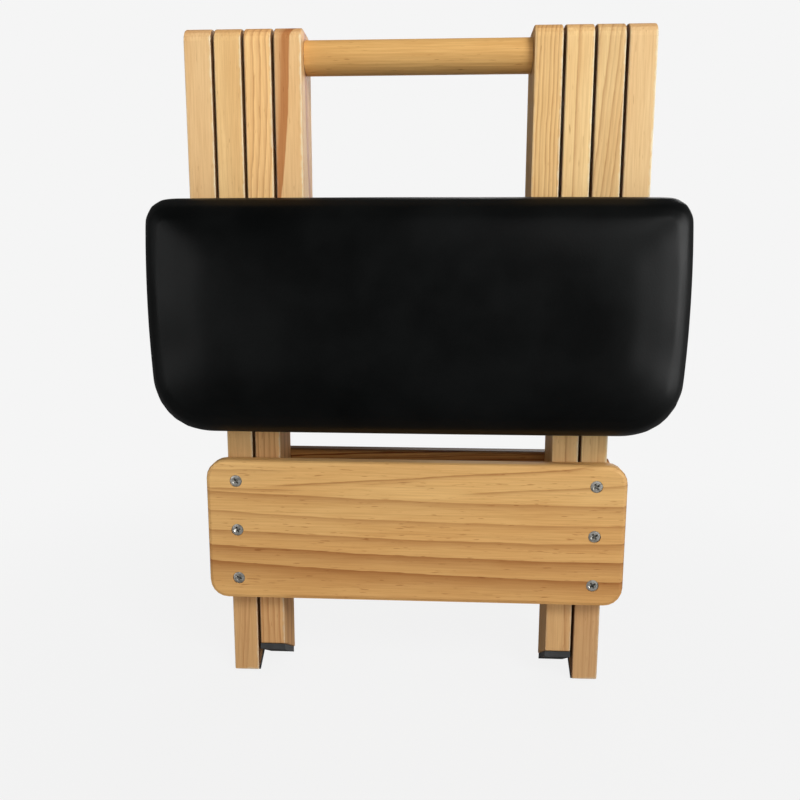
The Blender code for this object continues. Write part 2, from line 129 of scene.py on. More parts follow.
class StoolCushionSettings(bpy.types.PropertyGroup):
    cover: colour_property("Cover", "Colour of the smooth cover", 2, 3, 3)
    swell: length_property("Swell", "Farthest that the face may rise while the cover fills",
                           0.0050, 0.0, 0.03)
    spread: length_property("Spread", "Farthest that the sides may move while the cover fills",
                            0.0010, 0.0, 0.01)
    held_depth: length_property("Held depth", "The cover is held fast as far as this from its back",
                                0.012, 0.0, 0.03)
    pressure: FloatProperty(name="Pressure", description="Push of the foam on the cover",
                            default=4.0, min=0.0, max=20.0)
    evening: IntProperty(name="Evening", default=24, min=0, max=200,
                         description="How often the swelling is averaged with its surroundings")
    voxel: length_property("Cell size", "Edge of the cells of the filled cover", 0.0045, 0.002, 0.01)
    hem: length_property("Hem", "Width of the cover folded on to the back of the plywood",
                         0.013, 0.005, 0.016)
    gather: length_property("Gathers", "Depth of the gathers where the cover rounds a corner",
                            0.0006, 0.0, 0.002)
    gather_step: length_property("Gather spacing", "Distance from one gather to the next",
                                 0.0075, 0.003, 0.02)


class StoolFastenerSettings(bpy.types.PropertyGroup):
    screw_radius: length_property("Screw head", "Radius of the countersunk heads", 0.0044, 0.002, 0.008)
    cross_reach: length_property("Cross", "Length of each arm of the cross recess", 0.0025, 0.001, 0.005)
    bolt_radius: length_property("Bolt head", "Radius of the pivot bolts' heads", 0.0065, 0.003, 0.012)
    bolt_shank: length_property("Bolt shank", "Radius of the pivot bolts' shanks", 0.0030, 0.001, 0.006)
    nut_flats: length_property("Nut", "Distance from the middle of a nut to its flats", 0.0050, 0.003, 0.0052)
    staple_step: length_property("Staple spacing", "Distance from one staple to the next", 0.024, 0.012, 0.06)
    twist_seed: IntProperty(name="Twist seed", description="Seed of the heads' random turns", default=4)
    staple_seed: IntProperty(name="Staple seed", description="Seed of the staples' unevenness", default=7)


class StoolStageSettings(bpy.types.PropertyGroup):
    paper: colour_property("Background", "Colour of the floor and the background", 245, 245, 245)
    shadow: FloatProperty(name="Shadow", description="How strongly the floor shows the stool's shadow",
                          subtype="FACTOR", default=0.06, min=0.0, max=1.0)
    key_power: power_property("Key lamp", "Power of the lamp at the upper right", 38.0)
    fill_power: power_property("Fill lamp", "Power of the broad lamp near the camera", 14.0)
    back_power: power_property("Back lamp", "Power of the broad lamp behind the stool", 24.0)
    right_power: power_property("Right lamp", "Power of the lamp that the cover's right mirrors", 58.0)
    left_power: power_property("Left lamp", "Power of the lamp that the cover's left mirrors", 20.0)
    sky_light: FloatProperty(name="Ambient light", description="Strength of the even light from all round",
                             default=0.20, min=0.0, max=2.0)
    camera_place: FloatVectorProperty(name="Camera place", description="Where the camera stands",
                                      subtype="TRANSLATION", unit="LENGTH", size=3,
                                      default=(0.01913, -0.58678, 0.31656))
    camera_tilt: angle_property("Camera tilt", "Downward tilt of the camera", 9.479)
    camera_roll: angle_property("Camera roll", "Turn about the line of sight", 0.12)
    camera_turn: angle_property("Camera turn", "Turn of the camera to the left", 3.074)
    camera_lens: FloatProperty(name="Lens", description="Focal length on a sensor 36 mm wide",
                               subtype="DISTANCE_CAMERA", default=34.77, min=10.0, max=200.0)


SETTINGS = (
    ("stool_wood", StoolWoodSettings),
    ("stool_cushion", StoolCushionSettings),
    ("stool_fasteners", StoolFastenerSettings),
    ("stool_stage", StoolStageSettings),
)


# Node helpers


class Signal:
    """An output of a node. Arithmetic with it adds Math nodes to its tree."""

    def __init__(self, socket):
        self.socket = socket

    def __add__(self, other):
        return calc("ADD", self, other)

    def __sub__(self, other):
        return calc("SUBTRACT", self, other)

    def __mul__(self, other):
        return calc("MULTIPLY", self, other)

    def __truediv__(self, other):
        return calc("DIVIDE", self, other)


def tree_of(*values):
    """The tree of the first signal among some values."""
    return next(value.socket.id_data for value in values if isinstance(value, Signal))


def add_node(tree, kind, values=(), out=0, **settings):
    """A new node with its properties and inputs set: one of its outputs, several, or itself for None."""
    node = tree.nodes.new(kind)
    for name, value in settings.items():
        setattr(node, name, value)
    for key, value in dict(values).items():
        if isinstance(value, Signal):
            tree.links.new(value.socket, node.inputs[key])
        else:
            node.inputs[key].default_value = value
    if out is None:
        return node
    if isinstance(out, tuple):
        return [Signal(node.outputs[key]) for key in out]
    return Signal(node.outputs[out])


def calc(operation, *values, clamp=False):
    return add_node(tree_of(*values), "ShaderNodeMath", enumerate(values),
                    operation=operation, use_clamp=clamp)


def vector_calc(operation, *values):
    out = "Value" if operation in ("LENGTH", "DOT_PRODUCT") else "Vector"
    return add_node(tree_of(*values), "ShaderNodeVectorMath", enumerate(values), out, operation=operation)


def split(vector):
    return add_node(tree_of(vector), "ShaderNodeSeparateXYZ", {0: vector}, (0, 1, 2))


def joined(*values):
    return add_node(tree_of(*values), "ShaderNodeCombineXYZ", enumerate(values))


def noise(vector, scale, detail=2.0, roughness=0.5, out=0):
    """Noise whose scale is one number, or one for each axis."""
    if isinstance(scale, tuple):
        vector, scale = vector_calc("MULTIPLY", vector, scale), 1.0
    values = {"Vector": vector, "Scale": scale, "Detail": detail, "Roughness": roughness}
    return add_node(tree_of(vector), "ShaderNodeTexNoise", values, out)


def opaque(colour):
    return colour if isinstance(colour, Signal) else (*colour[:3], 1.0)


def mix(factor, first, second, blend="MIX"):
    """Mix two colours, each a signal or plain red, green and blue."""
    values = {0: factor, 6: opaque(first), 7: opaque(second)}
    return add_node(tree_of(factor, first, second), "ShaderNodeMix", values, 2,
                    data_type="RGBA", blend_type=blend, clamp_factor=True)


def remap(value, low, high, start=0.0, end=1.0, smooth=True):
    values = {"Value": value, "From Min": low, "From Max": high, "To Min": start, "To Max": end}
    return add_node(tree_of(value), "ShaderNodeMapRange", values, "Result",
                    interpolation_type="SMOOTHSTEP" if smooth else "LINEAR")


def add_sockets(tree, inputs, outputs):
    """Give a node group its sockets; an input is named with its default, or with its kind if it has none."""
    for label, default in inputs.items():
        kind = default if isinstance(default, str) else "Float"
        socket = tree.interface.new_socket(name=label, in_out="INPUT", socket_type=f"NodeSocket{kind}")
        if kind == "Float":
            socket.default_value = default
    for label in outputs:
        kind = label if label in ("Color", "Geometry") else "Float"
        tree.interface.new_socket(name=label, in_out="OUTPUT", socket_type=f"NodeSocket{kind}")
    given = tree.nodes.new("NodeGroupInput").outputs
    return {label: Signal(given[label]) for label in inputs}, tree.nodes.new("NodeGroupOutput")


SHADER_GROUPS = {}


def shader_group(name, inputs, outputs):
    """Note the function that fills a shader node group; it turns the inputs into the outputs."""
    def note(fill):
        SHADER_GROUPS[name] = fill, inputs, outputs
        return fill

    return note


def use_group(tree, name, values):
    """Add a shader node group, filled when it is first used, and give its outputs by name."""
    fill, inputs, outputs = SHADER_GROUPS[name]
    inside = bpy.data.node_groups.get(name)
    if not inside:
        inside = bpy.data.node_groups.new(name, "ShaderNodeTree")
        take, result = add_sockets(inside, inputs, outputs)
        for label, signal in zip(outputs, fill(take)):
            inside.links.new(signal.socket, result.inputs[label])
    return dict(zip(outputs, add_node(tree, "ShaderNodeGroup", values, outputs, node_tree=inside)))


def new_material(name):
    """A material with its tree and the place on the object."""
    made = bpy.data.materials.new(name)
    made.use_nodes = True
    return made, made.node_tree, add_node(made.node_tree, "ShaderNodeTexCoord", out="Object")


def set_surface(made, colour, roughness, height, strength, distance, specular=0.5, metallic=0.0):
    """Give a material's shader its colour, roughness and relief."""
    tree = made.node_tree
    shader = tree.nodes["Principled BSDF"]
    bump = add_node(tree, "ShaderNodeBump", {"Height": height, "Strength": strength, "Distance": distance})
    for name, signal in (("Base Color", colour), ("Roughness", roughness), ("Normal", bump)):
        tree.links.new(signal.socket, shader.inputs[name])
    shader.inputs["Specular IOR Level"].default_value = specular
    shader.inputs["Metallic"].default_value = metallic


# Shared effects of the wood


@shader_group("Wood Grain",
              {"Vector": "Vector", "Pith Y": 0.1, "Pith Z": -0.1, "Slope": 0.0, "Ring Width": 0.006,
               "Waviness": 0.004, "Offset": 0.0},
              ("Ring", "Fibre", "Pore", "Tone"))
def fill_wood_grain(take):
    """Growth rings of a log cut by the piece: the grain runs along X of the incoming vector.

    The pith is a line along X at Pith Y and Pith Z, tilted toward Z by Slope. Each ring darkens outward and
    ends sharply. Fibres and short dark pores run along the grain.
    """
    x, y, z = split(take["Vector"])
    place = joined(x + take["Offset"], y, z)
    bend = noise(place, (5.0, 16.0, 16.0), out="Color")
    bend_y, bend_z, _ = split(vector_calc("SUBTRACT", bend, (0.5, 0.5, 0.5)))
    y = y - take["Pith Y"] + bend_y * take["Waviness"]
    z = z - take["Pith Z"] - x * take["Slope"] + bend_z * take["Waviness"]
    radius = calc("SQRT", y * y + z * z)
    turns = radius / take["Ring Width"] + (noise(place, (14.0, 260.0, 260.0)) - 0.5) * 0.35
    tree = tree_of(turns)
    spacing = add_node(tree, "ShaderNodeTexNoise", {"W": turns * 0.6, "Detail": 1.0}, noise_dimensions="1D")
    turns = turns + spacing * 1.3
    part = calc("FRACT", turns)
    year = add_node(tree, "ShaderNodeTexWhiteNoise", {"W": calc("FLOOR", turns)}, "Value",
                    noise_dimensions="1D")
    strength = remap(year, 0.0, 1.0, 0.45, 1.0, smooth=False)
    ring = calc("POWER", part, 2.2) * remap(part, 0.90, 1.0, 1.0, 0.0)
    fibre = noise(place, (26.0, 900.0, 900.0), 3.0, 0.6)
    pores = remap(noise(place, (90.0, 850.0, 850.0), 1.0), 0.66, 0.78)
    return calc("MULTIPLY", ring, strength, clamp=True), fibre, pores, noise(place, (9.0, 45.0, 45.0))


@shader_group("Box Edge", {"Vector": "Vector", "Centre": "Vector", "Half Size": "Vector", "Reach": 0.002},
              ("Edge",))
def fill_box_edge(take):
    """1 along the edges of a box, and 0 farther than Reach from them."""
    offset = vector_calc("ABSOLUTE", vector_calc("SUBTRACT", take["Vector"], take["Centre"]))
    x, y, z = split(vector_calc("SUBTRACT", take["Half Size"], offset))
    middle = calc("MAXIMUM", calc("MINIMUM", x, y), calc("MINIMUM", calc("MAXIMUM", x, y), z))
    reach = take["Reach"] * remap(noise(take["Vector"], 160.0), 0.3, 0.7, 0.6, 1.4)
    return (calc("POWER", calc("SUBTRACT", 1.0, middle / reach, clamp=True), 1.6),)


@shader_group("Growth Line",
              {"Along": 0.0, "Across": 0.0, "Depth": 0.0, "Place": 0.0, "Slope": 0.0, "Bow": 0.0, "Lean": 0.0,
               "Way": 1.0, "Plateau": 0.0, "Fade": 0.004, "Start": -1.0, "End": 1.0, "Taper": 0.03,
               "Strength": 1.0},
              ("Mask",))
def fill_growth_line(take):
    """One dark growth line, sharp on one side and fading on the other.

    The line is a gentle curve: Place at the middle of the piece, tilted by Slope, bent by Bow and leaning by
    Lean through the thickness. Way is 1 where it fades toward lower values, and -1 where it fades upward. It
    stays dark as far as Plateau from the sharp side and then fades.
    """
    along, fade_in, fade_out = take["Along"], take["Start"], take["End"]
    line = take["Place"] + (along * take["Slope"] + along * along * take["Bow"])
    past = (line + take["Depth"] * take["Lean"] - take["Across"]) * take["Way"]
    faded = calc("MAXIMUM", past - take["Plateau"], 0.0) / take["Fade"]
    mask = remap(past, -0.0003, 0.0006) * calc("POWER", math.e, faded * -1.0)
    ends = (remap(along, fade_in, fade_in + take["Taper"])
            * remap(along, fade_out - take["Taper"], fade_out, 1.0, 0.0))
    return (calc("MULTIPLY", mask * ends, take["Strength"], clamp=True),)


@shader_group("Wood Finish",
              {"Ring": 0.0, "Fibre": 0.5, "Pore": 0.0, "Tone": 0.5, "Edge": 0.0, "End": 0.0,
               "Light": "Color", "Dark": "Color"},
              ("Color", "Roughness", "Height"))
def fill_wood_finish(take):
    """Colour, roughness and relief of oiled pine from the grain's masks."""
    ring, fibre, pore = take["Ring"], take["Fibre"], take["Pore"]
    colour = mix(ring, take["Light"], take["Dark"])
    colour = mix(remap(take["Tone"], 0.28, 0.72, 0.0, 0.42), colour, (0.88, 0.76, 0.64), "MULTIPLY")
    colour = mix(remap(fibre, 0.32, 0.70, 0.0, 0.38), colour, (0.72, 0.60, 0.48), "MULTIPLY")
    colour = mix(pore * 0.55, colour, (0.52, 0.32, 0.19), "MULTIPLY")
    # Pale edges: sanded wear, and the painted highlight that wood_material gives the right and top edges
    colour = mix(take["Edge"] * 0.9, colour, srgb(255, 250, 218))
    colour = mix(take["End"] * 0.75, colour, (0.74, 0.60, 0.52), "MULTIPLY")
    rough = remap(fibre, 0.2, 0.8, 0.46, 0.62) + ring * -0.06
    return colour, rough, ring * 0.5 - pore * 0.7 + fibre * 0.6


# Wood


def growth_lines(tree, along, across, depth, lines, wobble, bend):
    """The darkest of several growth lines, all of them swayed by the same slow noise and bent together.

    bend is (from, to, shift): the lines move across by the shift between the two places along the piece.
    """
    slow = noise(joined(along * 15.0, across * 45.0, depth), 1.0, 3.0)
    fine = noise(joined(along * 60.0, across * 900.0, depth), 1.0)
    swayed = across + (slow - 0.5) * wobble + (fine - 0.5) * 0.0010
    if bend:
        swayed = swayed - remap(along, bend[0], bend[1], 0.0, bend[2])
    darkest = None
    for line in lines:
        values = {"Along": along, "Across": swayed, "Depth": depth, **line}
        mask = use_group(tree, "Growth Line", values)["Mask"]
        darkest = mask if darkest is None else calc("MAXIMUM", darkest, mask)
    return darkest


def wood_material(node, colours, along, edge_reach, pith, slope=0.0, ring=0.006, waviness=0.004,
                  offset=0.0, contrast=0.8, lines=(), wobble=0.0016, bend=None, shade=None,
                  tint=(1.0, 1.0, 1.0), covered=(None, None)):
    """Pine for one node, whose grain runs along X or Z.

    colours are those of its early and late wood, and tint is this piece's own share of them. pith is given
    through the thickness and across the face, and slope across the face. lines are growth lines by their
    group inputs, with their depth counted from the front face. shade is (from, to, colour), painted shade:
    the wood takes that colour beyond the first height, and none beyond the second. covered gives the
    heights from which another strip lies against the left and the right side, or None: there the wood
    behind the front edge is painted darker, a painted shade in the narrow gap.
    """
    made, tree, place = new_material(node)
    low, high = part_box(node)
    centre, half = (low + high) / 2, (high - low) / 2
    x, depth, z = split(vector_calc("SUBTRACT", place, tuple(centre)))
    run, across = (x, z) if along == "X" else (z, x)
    from_front = depth + half.y
    grain = use_group(tree, "Wood Grain", {
        "Vector": joined(run, depth, across), "Pith Y": pith[0], "Pith Z": pith[1], "Slope": slope,
        "Ring Width": ring, "Waviness": waviness, "Offset": offset})
    rings = calc("MULTIPLY", grain.pop("Ring"), contrast, clamp=True)
    if lines:
        rings = calc("MAXIMUM", rings, growth_lines(tree, run, across, from_front, lines, wobble, bend))
    edge = use_group(tree, "Box Edge", {"Vector": place, "Centre": tuple(centre), "Half Size": tuple(half),
                                        "Reach": edge_reach})["Edge"]
    normal = add_node(tree, "ShaderNodeNewGeometry", out="Normal")
    facing = calc("ABSOLUTE", vector_calc("DOT_PRODUCT", normal, (0.0, 1.0, 0.0)))
    # Sanded edges, pale on the front and back faces, and a painted highlight: the right edges of a strip and
    # the top edges of a board are paler
    worn_and_highlit = edge * remap(facing, 0.25, 0.75) * remap(across, -0.002, 0.002, 0.3, 1.0)
    axis = (1.0, 0.0, 0.0) if along == "X" else (0.0, 0.0, 1.0)
    end = remap(calc("ABSOLUTE", vector_calc("DOT_PRODUCT", normal, axis)), 0.25, 0.85)
    light, dark = (opaque([own * share for own, share in zip(colour, tint)]) for colour in colours)
    finish = use_group(tree, "Wood Finish",
                       {"Ring": rings, "Edge": worn_and_highlit, "End": end, "Light": light, "Dark": dark, **grain})
    colour = finish["Color"]
    height = split(place)[2]
    # Painted shade: the wood darkens towards one height, the legs and front board towards the floor and the
    # rear board along its top
    if shade:
        colour = mix(remap(height, shade[0], shade[1], 1.0, 0.0), colour, shade[2], "MULTIPLY")
    sideways = vector_calc("DOT_PRODUCT", normal, (1.0, 0.0, 0.0))
    near_front = remap(from_front, 0.0, GAP_DEPTH, 1.0, 0.3)
    # Painted shade on the sides that lie against a neighbouring strip, darkest at the front edge
    for neighbour, start, full in zip(covered, (-0.15, 0.55), (-0.60, 0.90)):
        if neighbour is not None:
            beside = remap(height, neighbour - GAP_END, neighbour)
            inside = remap(sideways, start, full) * near_front * beside
            colour = mix(inside, colour, GAP_SHADE, "MULTIPLY")
    set_surface(made, colour, finish["Roughness"], finish["Height"], 0.35, 0.0003, specular=0.08)
    return made


def dress(node, made):
    """Give a CAD node its finish."""
    obj = NODES[node]
    obj.data.materials.clear()
    obj.data.materials.append(made)


def dress_wood(colours, along, edge_reach, cuts):
    """Give each node of a table its own cut of one wood."""
    for node, cut in cuts.items():
        dress(node, wood_material(node, colours, along, edge_reach, **cut))
    return {"FINISHED"}


def line_rows(rows, **shared):
    """Growth lines that differ in their place, in millimetres, and their strength."""
    return tuple({"Place": 0.001 * place, "Strength": strength, **shared} for place, strength in rows)


class STOOL_OT_dress_rails(bpy.types.Operator):
    """Give each of the four seat rails its own cut of pine"""

    bl_idname = "stool.dress_rails"
    bl_label = "Seat Rails"

    def execute(self, context):
        wood = context.scene.stool_wood
        late_wood = {"Place": -0.0092, "Slope": 0.164, "Bow": -0.63, "Lean": 0.70, "Plateau": 0.0050,
                     "Fade": 0.0040, "Strength": 0.80}
        side_line = {"Place": -0.0150, "Slope": 0.030, "Lean": 0.70, "Fade": 0.0022, "Strength": 0.65}
        fine_lines = line_rows(
            ((-18.4, 0.95), (-15.7, 0.95), (-13.0, 0.9), (-10.3, 0.95), (-7.6, 1.0), (-4.7, 0.9), (-2.7, 0.4),
             (-0.7, 0.95), (2.1, 1.0), (4.9, 0.95), (7.6, 0.9)),
            Lean=0.30, Way=-1.0, Fade=0.0008)
        return dress_wood((wood.rail_light, wood.rail_dark), "Z", wood.edge_reach, {
            "outer_rail_left": {"covered": (None, 0.0), "pith": (0.35, 0.10), "ring": 0.011, "contrast": 0.22,
                                "offset": 0.3, "tint": (1.14, 1.12, 1.05)},
            "outer_rail_right": {"covered": (0.0, None), "pith": (-0.30, 0.20), "ring": 0.012,
                                 "contrast": 0.18, "offset": 1.7, "tint": (1.12, 1.15, 1.11)},
            "inner_rail_left": {"covered": (0.0, None), "pith": (0.30, 0.20), "ring": 0.019, "contrast": 0.15,
                                "offset": 2.9, "lines": (late_wood, side_line), "wobble": 0.0006,
                                "tint": (1.15, 1.10, 1.0)},
            "inner_rail_right": {"covered": (None, 0.0), "pith": (0.02, 0.30), "ring": 0.014,
                                 "contrast": 0.15, "offset": 4.1, "lines": fine_lines, "wobble": 0.0022,
                                 "bend": (0.060, 0.095, 0.0013), "tint": (1.16, 1.18, 1.02)},
        })


class STOOL_OT_dress_legs(bpy.types.Operator):
    """Give each of the four legs its own cut of pine"""

    bl_idname = "stool.dress_legs"
    bl_label = "Legs"

    def execute(self, context):
        wood = context.scene.stool_wood
        wavy_lines = line_rows(
            ((-21.0, 0.7), (-16.4, 0.7), (-11.8, 0.7), (-6.9, 0.76), (-2.3, 0.80), (2.2, 0.76), (6.6, 0.80)),
            Lean=0.30, Fade=0.0014)
        single_line = line_rows(((-1.4, 0.75),), Slope=-0.0152, Bow=0.0648, Lean=0.25, Way=-1.0, Fade=0.0014)
        slanting_lines = line_rows(
            ((-28.0, 0.6), (-21.1, 0.75), (-17.6, 0.4), (-14.2, 0.72), (-11.0, 0.4), (-8.0, 0.7)),
            Slope=0.085, Lean=0.30, Way=-1.0, Fade=0.0014, Start=0.07, Taper=0.06)
        low_lines = line_rows(((-8.5, 0.25), (-2.6, 0.28), (2.6, 0.42), (6.5, 0.30)),
                              Lean=0.30, Way=-1.0, Fade=0.0016, End=0.06)
        foot_lines = line_rows(((15.2, 0.55), (18.4, 0.45), (11.0, 0.3)),
                               Slope=0.075, Lean=0.30, Fade=0.0016, End=-0.08, Taper=0.07)
        return dress_wood((wood.leg_light, wood.leg_dark), "Z", wood.edge_reach, {
            "outer_leg_left": {"covered": (RAIL_END, 0.0), "pith": (0.30, 0.12), "ring": 0.010,
                               "contrast": 0.22, "offset": 5.2, "lines": foot_lines,
                               "tint": (1.20, 1.19, 1.05), "shade": (0.06, 0.25, (0.72, 0.65, 0.64))},
            "outer_leg_right": {"covered": (0.0, RAIL_END), "pith": (0.01, 0.30), "slope": -0.11,
                                "ring": 0.012, "contrast": 0.20, "offset": 6.6,
                                "lines": slanting_lines + low_lines, "wobble": 0.0030,
                                "tint": (1.13, 1.19, 1.11), "shade": (0.05, 0.20, (0.71, 0.61, 0.60))},
            "inner_leg_left": {"covered": (0.0, RAIL_END), "pith": (0.015, 0.30), "ring": 0.012,
                               "contrast": 0.25, "offset": 7.4, "lines": wavy_lines, "wobble": 0.0045,
                               "bend": (0.115, 0.200, 0.0044), "tint": (1.34, 1.31, 1.14),
                               "shade": (0.11, 0.30, (0.66, 0.60, 0.60))},
            "inner_leg_right": {"covered": (RAIL_END, 0.0), "pith": (-0.30, 0.20), "ring": 0.014,
                                "contrast": 0.20, "offset": 8.8, "lines": single_line,
                                "tint": (1.21, 1.27, 1.18), "shade": (0.06, 0.25, (0.72, 0.63, 0.60))},
        })


class STOOL_OT_dress_boards(bpy.types.Operator):
    """Give the two lower boards their broad, level grain"""

    bl_idname = "stool.dress_boards"
    bl_label = "Lower Boards"

    def execute(self, context):
        wood = context.scene.stool_wood
        front_lines = tuple(
            {"Place": 0.001 * place, "Slope": slope, "Bow": bow, "Lean": 0.5, "Fade": 0.001 * fade,
             "Start": start, "End": end, "Strength": strength}
            for place, slope, bow, fade, start, end, strength in (
                (47.6, 0.000, 0.000, 1.6, -1.000, -0.080, 0.50),
                (43.2, 0.0726, 0.000, 1.3, -0.118, 0.140, 0.95),
                (40.9, 0.090, 0.000, 0.8, -0.055, 0.020, 0.60),
                (38.0, 0.040, 0.000, 1.0, 0.040, 1.000, 0.28),
                (32.4, 0.000, 0.000, 1.0, 0.055, 0.140, 0.40),
                (31.1, -0.0174, 0.000, 1.3, -1.000, -0.075, 0.80),
                (29.5, 0.056, 0.090, 1.5, 0.025, 1.000, 0.70),
                (25.6, -0.0233, 0.080, 4.5, -1.000, 1.000, 0.62),
                (15.3, -0.0030, 0.000, 0.8, -0.120, 1.000, 0.30),
                (9.9, -0.024, 0.110, 3.0, -1.000, 1.000, 0.55),
                (0.3, -0.015, 0.000, 0.8, -0.080, 0.130, 0.30),
                (-4.2, -0.020, 0.100, 4.0, -1.000, 1.000, 0.66),
                (-17.1, -0.027, 0.090, 7.5, -1.000, 1.000, 0.80),
                (-31.0, -0.035, 0.090, 8.5, -1.000, 1.000, 0.82),
                (-40.1, 0.000, 0.000, 2.0, -0.120, 0.090, 0.30),
                (-50.0, 0.000, 0.000, 3.0, -0.120, 0.120, 0.40)))
        return dress_wood((wood.board_light, wood.board_dark), "X", BOARD_EDGE_REACH, {
            "front_board": {"pith": (0.35, -0.22), "slope": -0.03, "ring": 0.0050, "waviness": 0.006,
                            "contrast": 0.12, "wobble": 0.0030, "lines": front_lines,
                            "shade": (0.085, 0.165, (0.94, 0.88, 0.84)), "tint": (1.12, 1.13, 1.06)},
            "rear_board": {"pith": (-0.04, -0.10), "slope": 0.03, "ring": 0.0115, "waviness": 0.010,
                           "contrast": 1.3, "offset": 3.3, "tint": (0.86, 0.76, 0.62),
                           "shade": (0.1745, 0.1700, (0.34, 0.30, 0.28))},
        })


class STOOL_OT_dress_bar(bpy.types.Operator):
    """Give the round bar between the rails its straight grain"""

    bl_idname = "stool.dress_bar"
    bl_label = "Round Bar"

    def execute(self, context):
        wood = context.scene.stool_wood
        return dress_wood((wood.dowel_light, wood.dowel_dark), "X", DOWEL_EDGE_REACH, {
            "top_dowel": {"pith": (0.06, -0.03), "contrast": 0.30, "offset": 9.1, "tint": (1.0, 0.97, 0.94)},
        })


def plywood_material(node):
    """Thin veneers in turn, seen at the edges, with a plain face grain."""
    made, tree, place = new_material(node)
    low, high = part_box(node)
    layer = (split(place)[1] - low.y) * (VENEERS / (high.y - low.y))
    odd = calc("FLOORED_MODULO", calc("FLOOR", layer), 2.0)
    glue = remap(calc("ABSOLUTE", calc("FRACT", layer) - 0.5), 0.42, 0.49)
    normal = add_node(tree, "ShaderNodeNewGeometry", out="Normal")
    facing = calc("ABSOLUTE", vector_calc("DOT_PRODUCT", normal, (0.0, 1.0, 0.0)))
    grain = use_group(tree, "Wood Grain", {"Vector": place, "Pith Y": 0.02, "Pith Z": 0.05, "Slope": 0.05,
                                           "Ring Width": 0.016, "Waviness": 0.02, "Offset": 4.4})
    finish = use_group(tree, "Wood Finish", {"Light": opaque(srgb(214, 182, 138)),
                                             "Dark": opaque(srgb(192, 152, 108)), **grain})
    edges = mix(glue, mix(odd, finish["Color"], srgb(168, 128, 88)), srgb(96, 66, 42))
    colour = mix(remap(facing, 0.3, 0.8, 1.0, 0.0), finish["Color"], edges)
    set_surface(made, colour, finish["Roughness"], finish["Height"], 0.3, 0.0003, specular=0.3)
    return made


class STOOL_OT_dress_seat_boards(bpy.types.Operator):
    """Give the two plywood seat boards their veneers"""

    bl_idname = "stool.dress_seat_boards"
    bl_label = "Seat Boards"

    def execute(self, context):
        for half in HALVES:
            node = f"{half}_seat_board"
            dress(node, plywood_material(node))
        return {"FINISHED"}


# Cushions


@shader_group("Cover Grain", {"Vector": "Vector"}, ("Height", "Roughness", "Tone"))
def fill_cover_grain(take):
    """Fine pebbled grain of a smooth cover, with broad faint unevenness."""
    place = take["Vector"]
    cells = add_node(tree_of(place), "ShaderNodeTexVoronoi", {"Vector": place, "Scale": 900.0}, "Distance",
                     feature="SMOOTH_F1")
    fine = noise(place, 2400.0, 2.0, 0.6)
    broad = noise(place, 14.0, 3.0, 0.55)
    rough = remap(broad, 0.3, 0.7, 0.38, 0.46) + fine * 0.06
    return cells * 0.8 + fine * 0.35, rough, remap(broad, 0.3, 0.75)


def cover_material(name, colour):
    """The smooth cover: its colour, a little lifted in broad patches, over the fine grain."""
    made, tree, place = new_material(name)
    grain = use_group(tree, "Cover Grain", {"Vector": place})
    lifted = [min(1.0, channel * 1.9 + 0.002) for channel in colour]
    set_surface(made, mix(grain["Tone"], colour, lifted), grain["Roughness"], grain["Height"], 0.22, 0.0002,
                specular=0.06)
    return made


def shown_object(name, mesh):
    """A new object in the scene."""
    obj = bpy.data.objects.new(name, mesh)
    bpy.context.scene.collection.objects.link(obj)
    return obj


def apply_modifiers(obj):
    """Turn the evaluated object into a plain mesh without modifiers."""
    depsgraph = bpy.context.evaluated_depsgraph_get()
    mesh = bpy.data.meshes.new_from_object(obj.evaluated_get(depsgraph), depsgraph=depsgraph)
    obj.modifiers.clear()
    old = obj.data
    obj.data = mesh
    if old.users == 0:
        bpy.data.meshes.remove(old)


def points_of(mesh):
    points = np.empty(len(mesh.vertices) * 3)
    mesh.vertices.foreach_get("co", points)
    return points.reshape(-1, 3)


def set_points(mesh, points):
    mesh.vertices.foreach_set("co", points.ravel())
    mesh.update()


def back_of(half):
    """Distance from the middle plane to the back of a half's plywood."""
    low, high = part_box(f"{half}_seat_board")
    return min(abs(low.y), abs(high.y))


def cushion_source(node, voxel):
    """A closed copy of a CAD cushion without its pocket, cut into even cells."""
    bm = bmesh.new()
    bm.from_mesh(NODES[node].data)
    bmesh.ops.remove_doubles(bm, verts=bm.verts, dist=1e-6)
    hull = bmesh.ops.convex_hull(bm, input=bm.verts)
    kept = {item for item in hull["geom"] if isinstance(item, bmesh.types.BMFace)}
    bmesh.ops.delete(bm, geom=[face for face in bm.faces if face not in kept], context="FACES")
    bmesh.ops.delete(bm, geom=[vert for vert in bm.verts if not vert.link_faces], context="VERTS")
    bmesh.ops.recalc_face_normals(bm, faces=bm.faces)
    mesh = bpy.data.meshes.new(f"{node}_cover")
    bm.to_mesh(mesh)
    bm.free()
    obj = shown_object(f"{node}_cover", mesh)
    remesh = obj.modifiers.new("cells", "REMESH")
    remesh.mode = "VOXEL"
    remesh.voxel_size = voxel
    apply_modifiers(obj)
    return obj


def evened(mesh, moves, rounds):
    """Average each point's move with its neighbours', a few times over."""
    edges = np.empty(len(mesh.edges) * 2, dtype=int)
    mesh.edges.foreach_get("vertices", edges)
    one, other = edges.reshape(-1, 2).T
    count = np.bincount(np.concatenate((one, other)), minlength=len(moves))[:, None]
    for _ in range(rounds):
        total = np.zeros_like(moves)
        np.add.at(total, one, moves[other])
        np.add.at(total, other, moves[one])
        moves = (moves + total / count) / 2
    return moves


